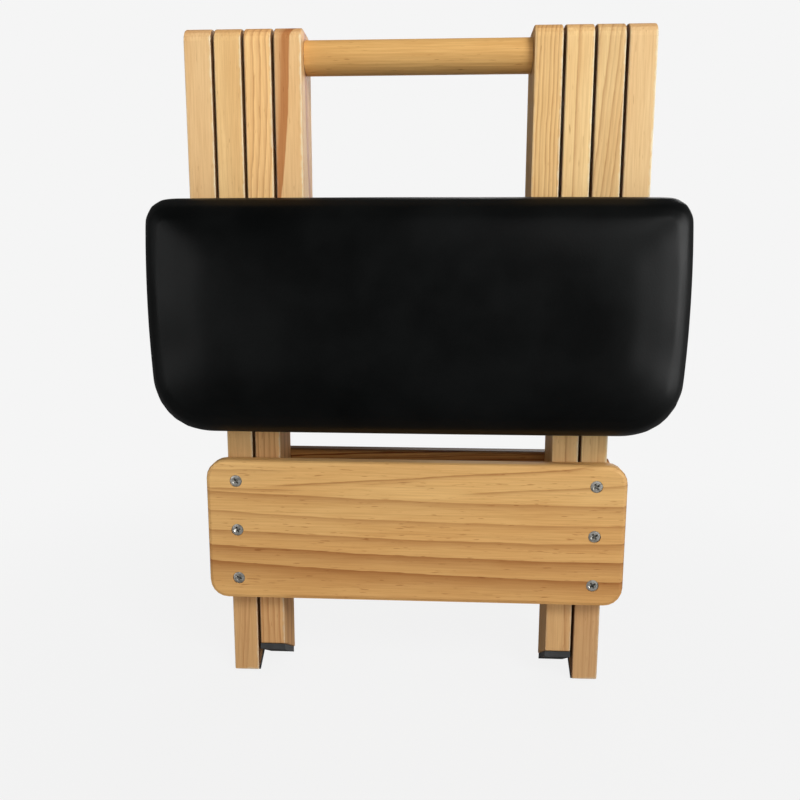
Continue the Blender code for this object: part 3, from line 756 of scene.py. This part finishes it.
def inflate(obj, half, wanted, frames=20):
    """Fill the cover with foam by a short cloth simulation, held at its back rim and limited in its moves."""
    start = points_of(obj.data)
    depth = np.abs(start[:, 1]) - back_of(half)
    held = obj.vertex_groups.new(name="held")
    weights = np.clip(1.5 - depth / (2 * wanted.held_depth), 0.0, 1.0)
    for index, weight in enumerate(weights):
        held.add([index], float(weight), "REPLACE")
    cloth = obj.modifiers.new("filling", "CLOTH")
    settings = cloth.settings
    settings.use_pressure = True
    settings.uniform_pressure_force = wanted.pressure
    settings.vertex_group_mass = held.name
    settings.tension_stiffness = 25.0
    settings.compression_stiffness = 25.0
    settings.bending_stiffness = 6.0
    settings.effector_weights.gravity = 0.0
    cloth.point_cache.frame_start = 1
    cloth.point_cache.frame_end = frames
    for number in range(1, frames + 1):
        bpy.context.scene.frame_set(number)
    apply_modifiers(obj)
    obj.vertex_groups.clear()
    limits = np.array((wanted.spread, wanted.swell, wanted.spread))
    moved = evened(obj.data, points_of(obj.data) - start, wanted.evening)
    set_points(obj.data, start + limits * np.tanh(moved / limits))
    bpy.context.scene.frame_set(1)


def settle_on_board(obj, half, gap=0.0005):
    """Press the underside flat just in front of the back of its plywood."""
    way = HALVES[half]["way"]
    points = points_of(obj.data)
    points[:, 1] = np.maximum(points[:, 1] * way, back_of(half) + gap) * way
    set_points(obj.data, points)


def smooth_piece(obj):
    """One live subdivision, turned into a plain mesh."""
    subdivision = obj.modifiers.new("soft", "SUBSURF")
    subdivision.levels = 1
    subdivision.render_levels = 1
    apply_modifiers(obj)
    obj.data.shade_smooth()


# The round of a seat board, which hems, gathers and staples follow


def board_round(half, step=0.0015, tangent_reach=3, turn_reach=4):
    """Even points round the back of a seat board in (X, Z), with directions, normals, turning and run so far.

    A direction is taken over tangent_reach points each way, and the turning over turn_reach points.
    """
    points = points_of(NODES[f"{half}_seat_board"].data)
    back = np.abs(np.abs(points[:, 1]) - back_of(half)) < 1e-5
    flat = [Vector(point) for point in points[back][:, (0, 2)]]
    hull = np.array([flat[index] for index in geometry.convex_hull_2d(flat)])
    closed = np.vstack((hull, hull[:1]))
    lengths = np.concatenate(([0.0], np.cumsum(np.linalg.norm(np.diff(closed, axis=0), axis=1))))
    count = int(lengths[-1] / step)
    run = np.arange(count) * lengths[-1] / count
    even = np.stack([np.interp(run, lengths, closed[:, axis]) for axis in range(2)], axis=1)
    along = np.roll(even, -tangent_reach, axis=0) - np.roll(even, tangent_reach, axis=0)
    along /= np.linalg.norm(along, axis=1, keepdims=True)
    normals = np.stack((along[:, 1], -along[:, 0]), axis=1)
    if np.sum(normals * (even - even.mean(axis=0))) < 0:
        normals = -normals
    later, earlier = np.roll(normals, -turn_reach, axis=0), np.roll(normals, turn_reach, axis=0)
    turning = np.linalg.norm(later - earlier, axis=1) / (2 * turn_reach * lengths[-1] / count)
    closed_turning = np.concatenate((turning[-turn_reach:], turning, turning[:turn_reach]))
    width = 2 * turn_reach + 1
    turning = np.convolve(closed_turning, np.ones(width) / width, mode="valid")
    return even, along, normals, turning, run


def gathers(turning, run, step):
    """0 to 1: how far the cover is drawn into a fold, only where the outline turns."""
    corner = np.clip((turning - GATHERS_BEGIN) / (GATHERS_FULL - GATHERS_BEGIN), 0.0, 1.0)
    wave = 0.5 + 0.5 * np.cos(2 * math.pi * run / step + 1.5 * np.sin(run * 210.0))
    return corner * wave ** 3


def draw_gathers(obj, half, wanted, reach=0.014, proud=0.001):
    """Draw the cover into small folds where it rounds the corners.

    They go as far as reach from its back, and only where the cover lies farther out than its board by proud.
    """
    even, _, normals, turning, run = board_round(half)
    fold = gathers(turning, run, wanted.gather_step)
    points = points_of(obj.data)
    depth = np.abs(points[:, 1]) - back_of(half)
    near = np.nonzero(depth < reach)[0]
    place = points[near][:, (0, 2)]
    nearest = np.argmin(((place[:, None, :] - even[None, :, :]) ** 2).sum(axis=2), axis=1)
    outside = ((place - even[nearest]) * normals[nearest]).sum(axis=1) > proud
    fade = np.clip(1.0 - depth[near] / reach, 0.0, 1.0) * outside
    shift = -wanted.gather * (fold[nearest] * fade)[:, None] * normals[nearest]
    points[near, 0] += shift[:, 0]
    points[near, 2] += shift[:, 1]
    set_points(obj.data, points)


# Section of a hem from its outer fold inward and back: how far inside the board's edge, as a length or from
# 0.4 up as a share of the hem's width; the height over the plywood; and the share of a gather's height
HEM_SECTION = (
    (-0.0031, -0.0010, 0.0), (-0.0027, -0.0002, 0.2), (-0.0016, 0.00012, 0.8), (0.0010, 0.00018, 1.0),
    (0.4, 0.00018, 1.0), (0.7, 0.00018, 0.8), (1.0, 0.00016, 0.5), (1.0, 0.00003, 0.0),
    (0.0, 0.00003, 0.0), (-0.0026, -0.0010, 0.0))


def make_hem(half, wanted):
    """The edge of the cover, folded on to the back of the plywood and gathered at the corners."""
    way = HALVES[half]["way"]
    even, _, normals, turning, run = board_round(half)
    free = np.clip((np.abs(even[:, 0]) - BESIDE_RAILS) / 0.002, 0.0, 1.0)
    raised = GATHER_HEIGHT * gathers(turning, run, wanted.gather_step) * free
    edge = wanted.hem + 0.0007 * np.sin(run * 61.0) + 0.0004 * np.sin(run * 173.0 + 1.0)
    bm = bmesh.new()
    rings = []
    for inset, height, lift in HEM_SECTION:
        inward = edge * inset if inset >= 0.4 else np.full(len(edge), inset)
        flat = even - normals * inward[:, None]
        depth = way * (back_of(half) - height - raised * lift)
        rings.append(ring_of(bm, np.stack((flat[:, 0], depth, flat[:, 1]), axis=1).tolist()))
    bridge(bm, *rings, rings[0])
    return object_from(f"{half}_cushion_hem", bm, 50, shown=True)


class STOOL_OT_make_cushions(bpy.types.Operator):
    """Fill the two seat cushions and wrap them in their smooth covers"""

    bl_idname = "stool.make_cushions"
    bl_label = "Cushions"

    def execute(self, context):
        wanted = context.scene.stool_cushion
        for half in HALVES:
            node = f"{half}_cushion"
            cover = cover_material(f"{half}_cover", wanted.cover)
            obj = cushion_source(node, wanted.voxel)
            inflate(obj, half, wanted)
            settle_on_board(obj, half)
            smooth_piece(obj)
            draw_gathers(obj, half, wanted)
            obj.data.materials.clear()
            obj.data.materials.append(cover)
            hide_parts(node)
            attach(obj, HALVES[half]["body"])
            hem = make_hem(half, wanted)
            hem.data.materials.append(cover)
            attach(hem, HALVES[half]["body"])
        return {"FINISHED"}


# Fasteners


@shader_group("Turned Metal", {"Vector": "Vector", "Light": "Color", "Dark": "Color"},
              ("Color", "Roughness", "Height"))
def fill_turned_metal(take):
    """Plated metal with blotches and fine scratches."""
    blotch = noise(take["Vector"], 320.0, 3.0, 0.6)
    scratch = noise(take["Vector"], (3500.0, 3500.0, 600.0))
    colour = mix(remap(blotch, 0.35, 0.68), take["Light"], take["Dark"])
    return colour, remap(blotch, 0.3, 0.7, 0.36, 0.54) + scratch * 0.10, scratch


def metal_material(name, light, dark):
    """Plated metal between a light and a dark tone."""
    made, tree, place = new_material(name)
    finish = use_group(tree, "Turned Metal", {"Vector": place, "Light": opaque(light), "Dark": opaque(dark)})
    set_surface(made, finish["Color"], finish["Roughness"], finish["Height"], 0.15, 0.0001, metallic=1.0)
    return made


def dull_material(name, colour, roughness, grain_scale, relief):
    """Plain moulded rubber or nylon with a fine skin."""
    made, _, place = new_material(name)
    fine = noise(place, grain_scale, 3.0)
    lifted = [min(1.0, channel * 1.5 + 0.01) for channel in colour]
    set_surface(made, mix(remap(noise(place, 60.0), 0.35, 0.7), colour, lifted),
                remap(fine, 0.3, 0.7, roughness - 0.06, roughness + 0.06), fine, relief, 0.0002)
    return made


def ring_of(bm, points):
    return [bm.verts.new(point) for point in points]


def circle(bm, radius, z, count, start=0.0):
    turns = [start + 2 * math.pi * k / count for k in range(count)]
    return ring_of(bm, [(radius * math.cos(turn), radius * math.sin(turn), z) for turn in turns])


def bridge(bm, *rings):
    """Join each ring of points to the next with a band of faces."""
    for lower, upper in zip(rings, rings[1:]):
        count = len(lower)
        for k in range(count):
            bm.faces.new((lower[k], lower[(k + 1) % count], upper[(k + 1) % count], upper[k]))


def fill_between(bm, *rings):
    """Fill the flat face between two rings whose edges are there already."""
    edges = [bm.edges.get((ring[k], ring[(k + 1) % len(ring)])) for ring in rings for k in range(len(ring))]
    bmesh.ops.triangle_fill(bm, edges=edges, use_beauty=True)


def object_from(name, bm, sharp=30, shown=False):
    """Close off a bmesh as a smooth object with sharp edges; if it isn't shown, it only feeds a node tree."""
    bmesh.ops.recalc_face_normals(bm, faces=bm.faces)
    mesh = bpy.data.meshes.new(name)
    bm.to_mesh(mesh)
    bm.free()
    mesh.shade_smooth()
    mesh.set_sharp_from_angle(angle=math.radians(sharp))
    return shown_object(name, mesh) if shown else bpy.data.objects.new(name, mesh)


def screw_head_object(radius, reach, count=24):
    """A countersunk head with a deep cross recess, its flat top at Z = 0 and its shank below."""
    bm = bmesh.new()
    arm = reach * 0.30
    cross = [Matrix.Rotation(math.pi / 2 * quarter, 2) @ Vector(corner)
             for quarter in range(4) for corner in ((reach, -arm), (reach, arm), (arm, arm))]
    shank = 0.0021
    rim, top, straight, neck, end = (
        circle(bm, wide, z, count, -math.pi / count)
        for wide, z in ((radius, -0.00012), (radius * 0.93, 0.0), (radius, -0.0006), (shank, -0.0034),
                        (shank, -0.0060)))
    lip, wall, foot = (ring_of(bm, [(x * wide, y * high, z) for x, y in cross])
                       for wide, high, z in ((1.06, 1.06, 0.0), (0.94, 0.94, -0.0003), (0.52, 0.62, -0.0019)))
    bridge(bm, end, neck, straight, rim, top)
    bridge(bm, lip, wall, foot)
    bm.faces.new(foot)
    bm.faces.new(end[::-1])
    fill_between(bm, top, lip)
    return object_from("screw_head", bm)


def fastener_tree():
    """Places one fastener on every point, turned to its two directions and twisted at random."""
    tree = bpy.data.node_groups.get("Placed Fasteners")
    if tree:
        return tree
    tree = bpy.data.node_groups.new("Placed Fasteners", "GeometryNodeTree")
    given, result = add_sockets(tree, {"Geometry": "Geometry", "Fastener": "Object", "Material": "Material",
                                       "Twist": math.pi, "Seed": "Int"}, ("Geometry",))
    facing, run = (add_node(tree, "GeometryNodeInputNamedAttribute", {"Name": name}, "Attribute",
                            data_type="FLOAT_VECTOR") for name in ("facing", "run"))
    aim = add_node(tree, "FunctionNodeAlignRotationToVector", {"Vector": facing}, axis="Z")
    aim = add_node(tree, "FunctionNodeAlignRotationToVector", {"Rotation": aim, "Vector": run},
                   axis="X", pivot_axis="Z")
    chance = add_node(tree, "FunctionNodeRandomValue", {"Seed": given["Seed"], 3: given["Twist"]}, 1,
                      data_type="FLOAT")
    twist = add_node(tree, "FunctionNodeAxisAngleToRotation", {"Axis": (0.0, 0.0, 1.0), "Angle": chance})
    turn = add_node(tree, "FunctionNodeRotateRotation", {"Rotation": aim, "Rotate By": twist},
                    rotation_space="LOCAL")
    shape = add_node(tree, "GeometryNodeObjectInfo", {"Object": given["Fastener"], "As Instance": True},
                     "Geometry")
    placed = add_node(tree, "GeometryNodeInstanceOnPoints",
                      {"Points": given["Geometry"], "Instance": shape, "Rotation": turn})
    real = add_node(tree, "GeometryNodeRealizeInstances", {"Geometry": placed})
    finish = add_node(tree, "GeometryNodeSetMaterial", {"Geometry": real, "Material": given["Material"]})
    tree.links.new(finish.socket, result.inputs[0])
    return tree


def place_fasteners(name, places, shape, made, body, nodes=(), twist=math.pi, seed=0):
    """Build one plain mesh of like fasteners of one body, in place of their CAD nodes if they have any.

    A place is a point, the way that its fastener faces and the way that its length runs.
    """
    mesh = bpy.data.meshes.new(name)
    mesh.from_pydata([tuple(place[0]) for place in places], [], [])
    for label, part in (("facing", 1), ("run", 2)):
        direction = mesh.attributes.new(label, "FLOAT_VECTOR", "POINT")
        direction.data.foreach_set("vector", [float(value) for place in places for value in place[part]])
    obj = shown_object(name, mesh)
    modifier = obj.modifiers.new("fasteners", "NODES")
    tree = fastener_tree()
    modifier.node_group = tree
    values = {"Fastener": shape, "Material": made, "Twist": twist, "Seed": seed}
    for item in tree.interface.items_tree:
        if item.in_out == "INPUT" and item.name in values:
            modifier[item.identifier] = values[item.name]
    obj.update_tag()
    apply_modifiers(obj)
    obj.data.materials.clear()
    obj.data.materials.append(made)
    if nodes:
        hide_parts(*nodes)
    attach(obj, body)


def head_places(nodes, axis, run, inward=False):
    """Middle of each CAD fastener's head, the way it faces along an axis, and the way its length runs.

    The head is the wider end. A nut has two like ends, and its face is the end toward the middle plane.
    """
    places = []
    for node in nodes:
        points = points_of(NODES[node].data)
        ends = points[:, axis].min(), points[:, axis].max()
        spread = [np.ptp(points[np.abs(points[:, axis] - end) < 0.0003, 2]) for end in ends]
        first = points[:, axis].mean() > 0 if inward else spread[0] > spread[1]
        middle = (points.max(axis=0) + points.min(axis=0)) / 2
        middle[axis] = ends[0] if first else ends[1]
        facing = [0.0, 0.0, 0.0]
        facing[axis] = -1.0 if first else 1.0
        places.append((middle, facing, run))
    return places


class STOOL_OT_place_screws(bpy.types.Operator):
    """Set the countersunk screws with their cross recesses"""

    bl_idname = "stool.place_screws"
    bl_label = "Screws"

    def execute(self, context):
        wanted = context.scene.stool_fasteners
        shape = screw_head_object(wanted.screw_radius, wanted.cross_reach)
        zinc = metal_material("zinc_plate", srgb(176, 174, 168), srgb(120, 118, 112))
        rows = (("front_board", "outer_frame", 6), ("rear_board", "inner_frame", 6),
                ("front_seat", "front_seat", 4), ("rear_seat", "rear_seat", 4))
        for number, (prefix, body, count) in enumerate(rows):
            nodes = [f"{prefix}_screw_{k}" for k in range(1, count + 1)]
            place_fasteners(f"{prefix}_screws", head_places(nodes, 1, (1, 0, 0)), shape, zinc, body,
                            nodes, seed=wanted.twist_seed + number)
        return {"FINISHED"}


def bolt_object(name, radius, shank, length):
    """A low bolt with a rounded head and a hexagon socket: its top at Z = 0 and its shank below."""
    bm = bmesh.new()
    profile = ((radius - 0.0014, 0.0), (radius - 0.0005, -0.0002), (radius, -0.0008), (radius, -0.0030),
               (shank, -0.0030), (shank, 0.0006 - length), (shank - 0.0006, -length))
    rings = [circle(bm, wide, high, 36) for wide, high in profile]
    bridge(bm, *rings[::-1])
    bm.faces.new(rings[-1])
    lip, wall, floor = (circle(bm, wide, z, 6) for wide, z in ((0.00265, 0.0), (0.0024, -0.0002),
                                                               (0.0024, -0.0020)))
    bridge(bm, lip, wall, floor)
    middle = bm.verts.new((0.0, 0.0, -0.0025))
    for k in range(6):
        bm.faces.new((floor[k], floor[(k + 1) % 6], middle))
    fill_between(bm, rings[0], lip)
    return object_from(name, bm)


def nut_object(flats, hole, height, count=36):
    """A chamfered hexagon nut, its face at Z = 0 and the rest below."""
    bm = bmesh.new()
    sixth = math.pi / 3
    turns = [2 * math.pi * k / count for k in range(count)]
    hexagon = [flats / math.cos((turn + sixth / 2) % sixth - sixth / 2) for turn in turns]
    chamfer = 0.0005
    mouth, face, bore = [hole + 0.0004] * count, [flats - 0.0001] * count, [hole] * count
    section = ((mouth, 0.0), (face, 0.0), (hexagon, -chamfer), (hexagon, chamfer - height), (face, -height),
               (mouth, -height), (bore, 0.0004 - height), (bore, -0.0004))
    rings = [ring_of(bm, [(radius * math.cos(turn), radius * math.sin(turn), z)
                          for radius, turn in zip(radii, turns)]) for radii, z in section]
    bridge(bm, *rings, rings[0])
    return object_from("hexagon_nut", bm)


class STOOL_OT_place_bolts(bpy.types.Operator):
    """Set the pivot bolts with their sockets and the sunk hexagon nuts, and finish the washers"""

    bl_idname = "stool.place_bolts"
    bl_label = "Pivot Bolts"

    def execute(self, context):
        wanted = context.scene.stool_fasteners
        steel = metal_material("bolt_steel", srgb(172, 172, 170), srgb(112, 112, 110))
        nylon = dull_material("washer_nylon", srgb(206, 205, 198), 0.5, 900.0, 0.15)
        rows = (("crossing", "crossing", True), ("rail", "outer_frame", True),
                ("dowel", "inner_frame", False))
        for number, (prefix, body, has_nut) in enumerate(rows):
            nodes = [f"{prefix}_bolt_{side}" for side in SIDES]
            low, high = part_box(nodes[0])
            shape = bolt_object(f"{prefix}_bolt_shape", wanted.bolt_radius, wanted.bolt_shank, high.x - low.x)
            place_fasteners(f"{prefix}_bolts", head_places(nodes, 0, (0, 0, 1)), shape, steel, body,
                            nodes, seed=wanted.twist_seed + number)
            if has_nut:
                nuts = [f"{prefix}_nut_{side}" for side in SIDES]
                low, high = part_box(nuts[0])
                shape = nut_object(wanted.nut_flats, wanted.bolt_shank + 0.00015, high.x - low.x)
                place_fasteners(f"{prefix}_nuts", head_places(nuts, 0, (0, 0, 1), inward=True), shape, steel,
                                body, nuts, seed=wanted.twist_seed + number)
            for side in SIDES:
                dress(f"{prefix}_washer_{side}", nylon)
        return {"FINISHED"}


def staple_object(length=0.010, width=0.0010, proud=0.00007):
    """The crown of a flat staple, its underside at Z = 0, with ends that dip into the cover."""
    stations = ((-0.5, -0.4), (-0.47, 0.4), (-0.44, 1.0), (0.44, 1.0), (0.47, 0.4), (0.5, -0.4))
    across = ((-0.5, -0.9), (-0.42, 0.0), (-0.2, 1.0), (0.2, 1.0), (0.42, 0.0), (0.5, -0.9))
    bm = bmesh.new()
    rings = [ring_of(bm, [(length * run, width * side, proud * (rise * lift if lift > 0 else lift))
                          for side, lift in across]) for run, rise in stations]
    bridge(bm, *rings)
    bm.faces.new(rings[0][::-1])
    bm.faces.new(rings[-1])
    return object_from("staple", bm)


class STOOL_OT_place_staples(bpy.types.Operator):
    """Staple the hems of the covers to the plywood"""

    bl_idname = "stool.place_staples"
    bl_label = "Staples"

    def execute(self, context):
        wanted = context.scene.stool_fasteners
        inset = context.scene.stool_cushion.hem * 0.55
        wire = metal_material("staple_wire", srgb(188, 188, 184), srgb(140, 139, 134))
        for half, facts in HALVES.items():
            even, along, normals, _, run = board_round(half)
            height = facts["way"] * (back_of(half) - 0.0002)
            every = max(1, int(wanted.staple_step / (run[1] - run[0])))
            places = []
            for k in range(0, len(even), every):
                x, z = even[k] - normals[k] * inset
                places.append(((x, height, z), (0, -facts["way"], 0), (along[k, 0], 0, along[k, 1])))
            place_fasteners(f"{half}_hem_staples", places, staple_object(), wire, facts["body"],
                            twist=0.25, seed=wanted.staple_seed)
        return {"FINISHED"}


class STOOL_OT_dress_feet(bpy.types.Operator):
    """Give the four slanted foot pads their rubber skin"""

    bl_idname = "stool.dress_feet"
    bl_label = "Foot Pads"

    def execute(self, context):
        rubber = dull_material("foot_rubber", srgb(30, 31, 32), 0.72, 1400.0, 0.5)
        for frame_name in ("outer", "inner"):
            for side in SIDES:
                dress(f"{frame_name}_foot_pad_{side}", rubber)
        return {"FINISHED"}


# Studio


def show_to_camera(tree, output, shown, otherwise):
    """End a tree by showing one shader to the camera's own rays and another to all other rays."""
    camera = add_node(tree, "ShaderNodeLightPath", out="Is Camera Ray")
    both = add_node(tree, "ShaderNodeMixShader", {0: camera, 1: otherwise, 2: shown})
    add_node(tree, output, {"Surface": both}, None)


def floor_material(colour, shadow):
    """Paper that shows its own colour to the camera, and near the stool a share of its shadow.

    It throws less light back on the stool than it shows to the camera.
    """
    made = bpy.data.materials.new("studio_paper")
    made.use_nodes = True
    tree = made.node_tree
    tree.nodes.clear()
    lit = add_node(tree, "ShaderNodeBsdfDiffuse", {"Color": opaque((0.80, 0.80, 0.80))})
    dim = add_node(tree, "ShaderNodeBsdfDiffuse", {"Color": opaque((0.50, 0.50, 0.50))})
    shown = add_node(tree, "ShaderNodeEmission", {"Color": opaque(colour), "Strength": 1.0})
    place = add_node(tree, "ShaderNodeTexCoord", out="Object")
    away = remap(vector_calc("LENGTH", place), 0.15, 0.75, 1.0 - shadow, 1.0)
    seen = add_node(tree, "ShaderNodeMixShader", {0: away, 1: lit, 2: shown})
    show_to_camera(tree, "ShaderNodeOutputMaterial", seen, dim)
    return made


def studio_world(colour, strength):
    """Even light from all round, and the background's colour for what the camera sees."""
    world = bpy.data.worlds.new("studio")
    bpy.context.scene.world = world
    world.use_nodes = True
    tree = world.node_tree
    tree.nodes.clear()
    light = add_node(tree, "ShaderNodeBackground", {"Color": opaque((1.0, 1.0, 1.0)), "Strength": strength})
    shown = add_node(tree, "ShaderNodeBackground", {"Color": opaque(colour), "Strength": 1.0})
    show_to_camera(tree, "ShaderNodeOutputWorld", shown, light)


def area_lamp(name, place, size, power, matte=True, gloss=True):
    """A soft lamp toward the stool that lights matte surfaces, shows in glossy ones, or both."""
    lamp = bpy.data.lights.new(name, "AREA")
    lamp.shape = "RECTANGLE"
    lamp.size, lamp.size_y = size
    lamp.energy = power
    obj = shown_object(name, lamp)
    obj.visible_diffuse = matte
    obj.visible_glossy = gloss
    aim = STOOL_MIDDLE - Vector(place)
    obj.rotation_euler = aim.to_track_quat("-Z", "Y").to_euler()
    obj.location = place


class STOOL_OT_build_stage(bpy.types.Operator):
    """Lay the pale floor, hang the lamps and set up the camera"""

    bl_idname = "stool.build_stage"
    bl_label = "Studio"

    def execute(self, context):
        wanted = context.scene.stool_stage
        half = 6.0
        mesh = bpy.data.meshes.new("floor")
        corners = [(-half, -half, 0.0), (half, -half, 0.0), (half, half, 0.0), (-half, half, 0.0)]
        mesh.from_pydata(corners, [], [(0, 1, 2, 3)])
        floor = shown_object("floor", mesh)
        mesh.materials.append(floor_material(wanted.paper, wanted.shadow))
        studio_world(wanted.paper, wanted.sky_light)
        area_lamp("key_lamp", (1.15, -1.80, 1.75), (0.9, 0.9), wanted.key_power)
        area_lamp("fill_lamp", (0.30, -2.30, 0.70), (1.4, 1.2), wanted.fill_power, gloss=False)
        area_lamp("back_lamp", (0.70, 2.40, 1.10), (1.6, 1.4), wanted.back_power)
        area_lamp("right_lamp", (1.60, -0.64, 0.42), (1.0, 0.9), wanted.right_power, matte=False)
        area_lamp("left_lamp", (-1.45, -1.10, 0.38), (1.3, 0.9), wanted.left_power, matte=False)

        lens = bpy.data.cameras.new("camera")
        lens.sensor_width = 36.0
        lens.lens = wanted.camera_lens
        camera = shown_object("camera", lens)
        turn = (Matrix.Rotation(wanted.camera_turn, 4, "Z")
                @ Matrix.Rotation(math.pi / 2 - wanted.camera_tilt, 4, "X")
                @ Matrix.Rotation(wanted.camera_roll, 4, "Z"))
        camera.matrix_world = Matrix.Translation(wanted.camera_place) @ turn
        context.scene.camera = camera
        context.scene.view_settings.view_transform = "Standard"
        return {"FINISHED"}


class STOOL_PT_panel(bpy.types.Panel):
    """Lists the pieces of the stool in the sidebar"""

    bl_idname = "STOOL_PT_panel"
    bl_label = "Folding Stool"
    bl_space_type = "VIEW_3D"
    bl_region_type = "UI"
    bl_category = "Stool"

    def draw(self, context):
        layout = self.layout
        for name, _ in SETTINGS:
            settings = getattr(context.scene, name)
            box = layout.box()
            for key in settings.bl_rna.properties.keys():
                if key not in ("rna_type", "name"):
                    box.prop(settings, key)
        for operator in OPERATORS:
            layout.operator(operator.bl_idname)


OPERATORS = (
    STOOL_OT_dress_rails,
    STOOL_OT_dress_legs,
    STOOL_OT_dress_boards,
    STOOL_OT_dress_bar,
    STOOL_OT_dress_seat_boards,
    STOOL_OT_make_cushions,
    STOOL_OT_place_screws,
    STOOL_OT_place_staples,
    STOOL_OT_place_bolts,
    STOOL_OT_dress_feet,
    STOOL_OT_build_stage,
)


def register():
    for name, settings in SETTINGS:
        bpy.utils.register_class(settings)
        setattr(bpy.types.Scene, name, PointerProperty(type=settings))
    for operator in OPERATORS:
        bpy.utils.register_class(operator)
    bpy.utils.register_class(STOOL_PT_panel)


def unregister():
    bpy.utils.unregister_class(STOOL_PT_panel)
    for operator in reversed(OPERATORS):
        bpy.utils.unregister_class(operator)
    for name, settings in reversed(SETTINGS):
        delattr(bpy.types.Scene, name)
        bpy.utils.unregister_class(settings)


def main():
    register()
    for operator in OPERATORS:
        area, name = operator.bl_idname.split(".")
        getattr(getattr(bpy.ops, area), name)()


if __name__ == "__main__":
    main()
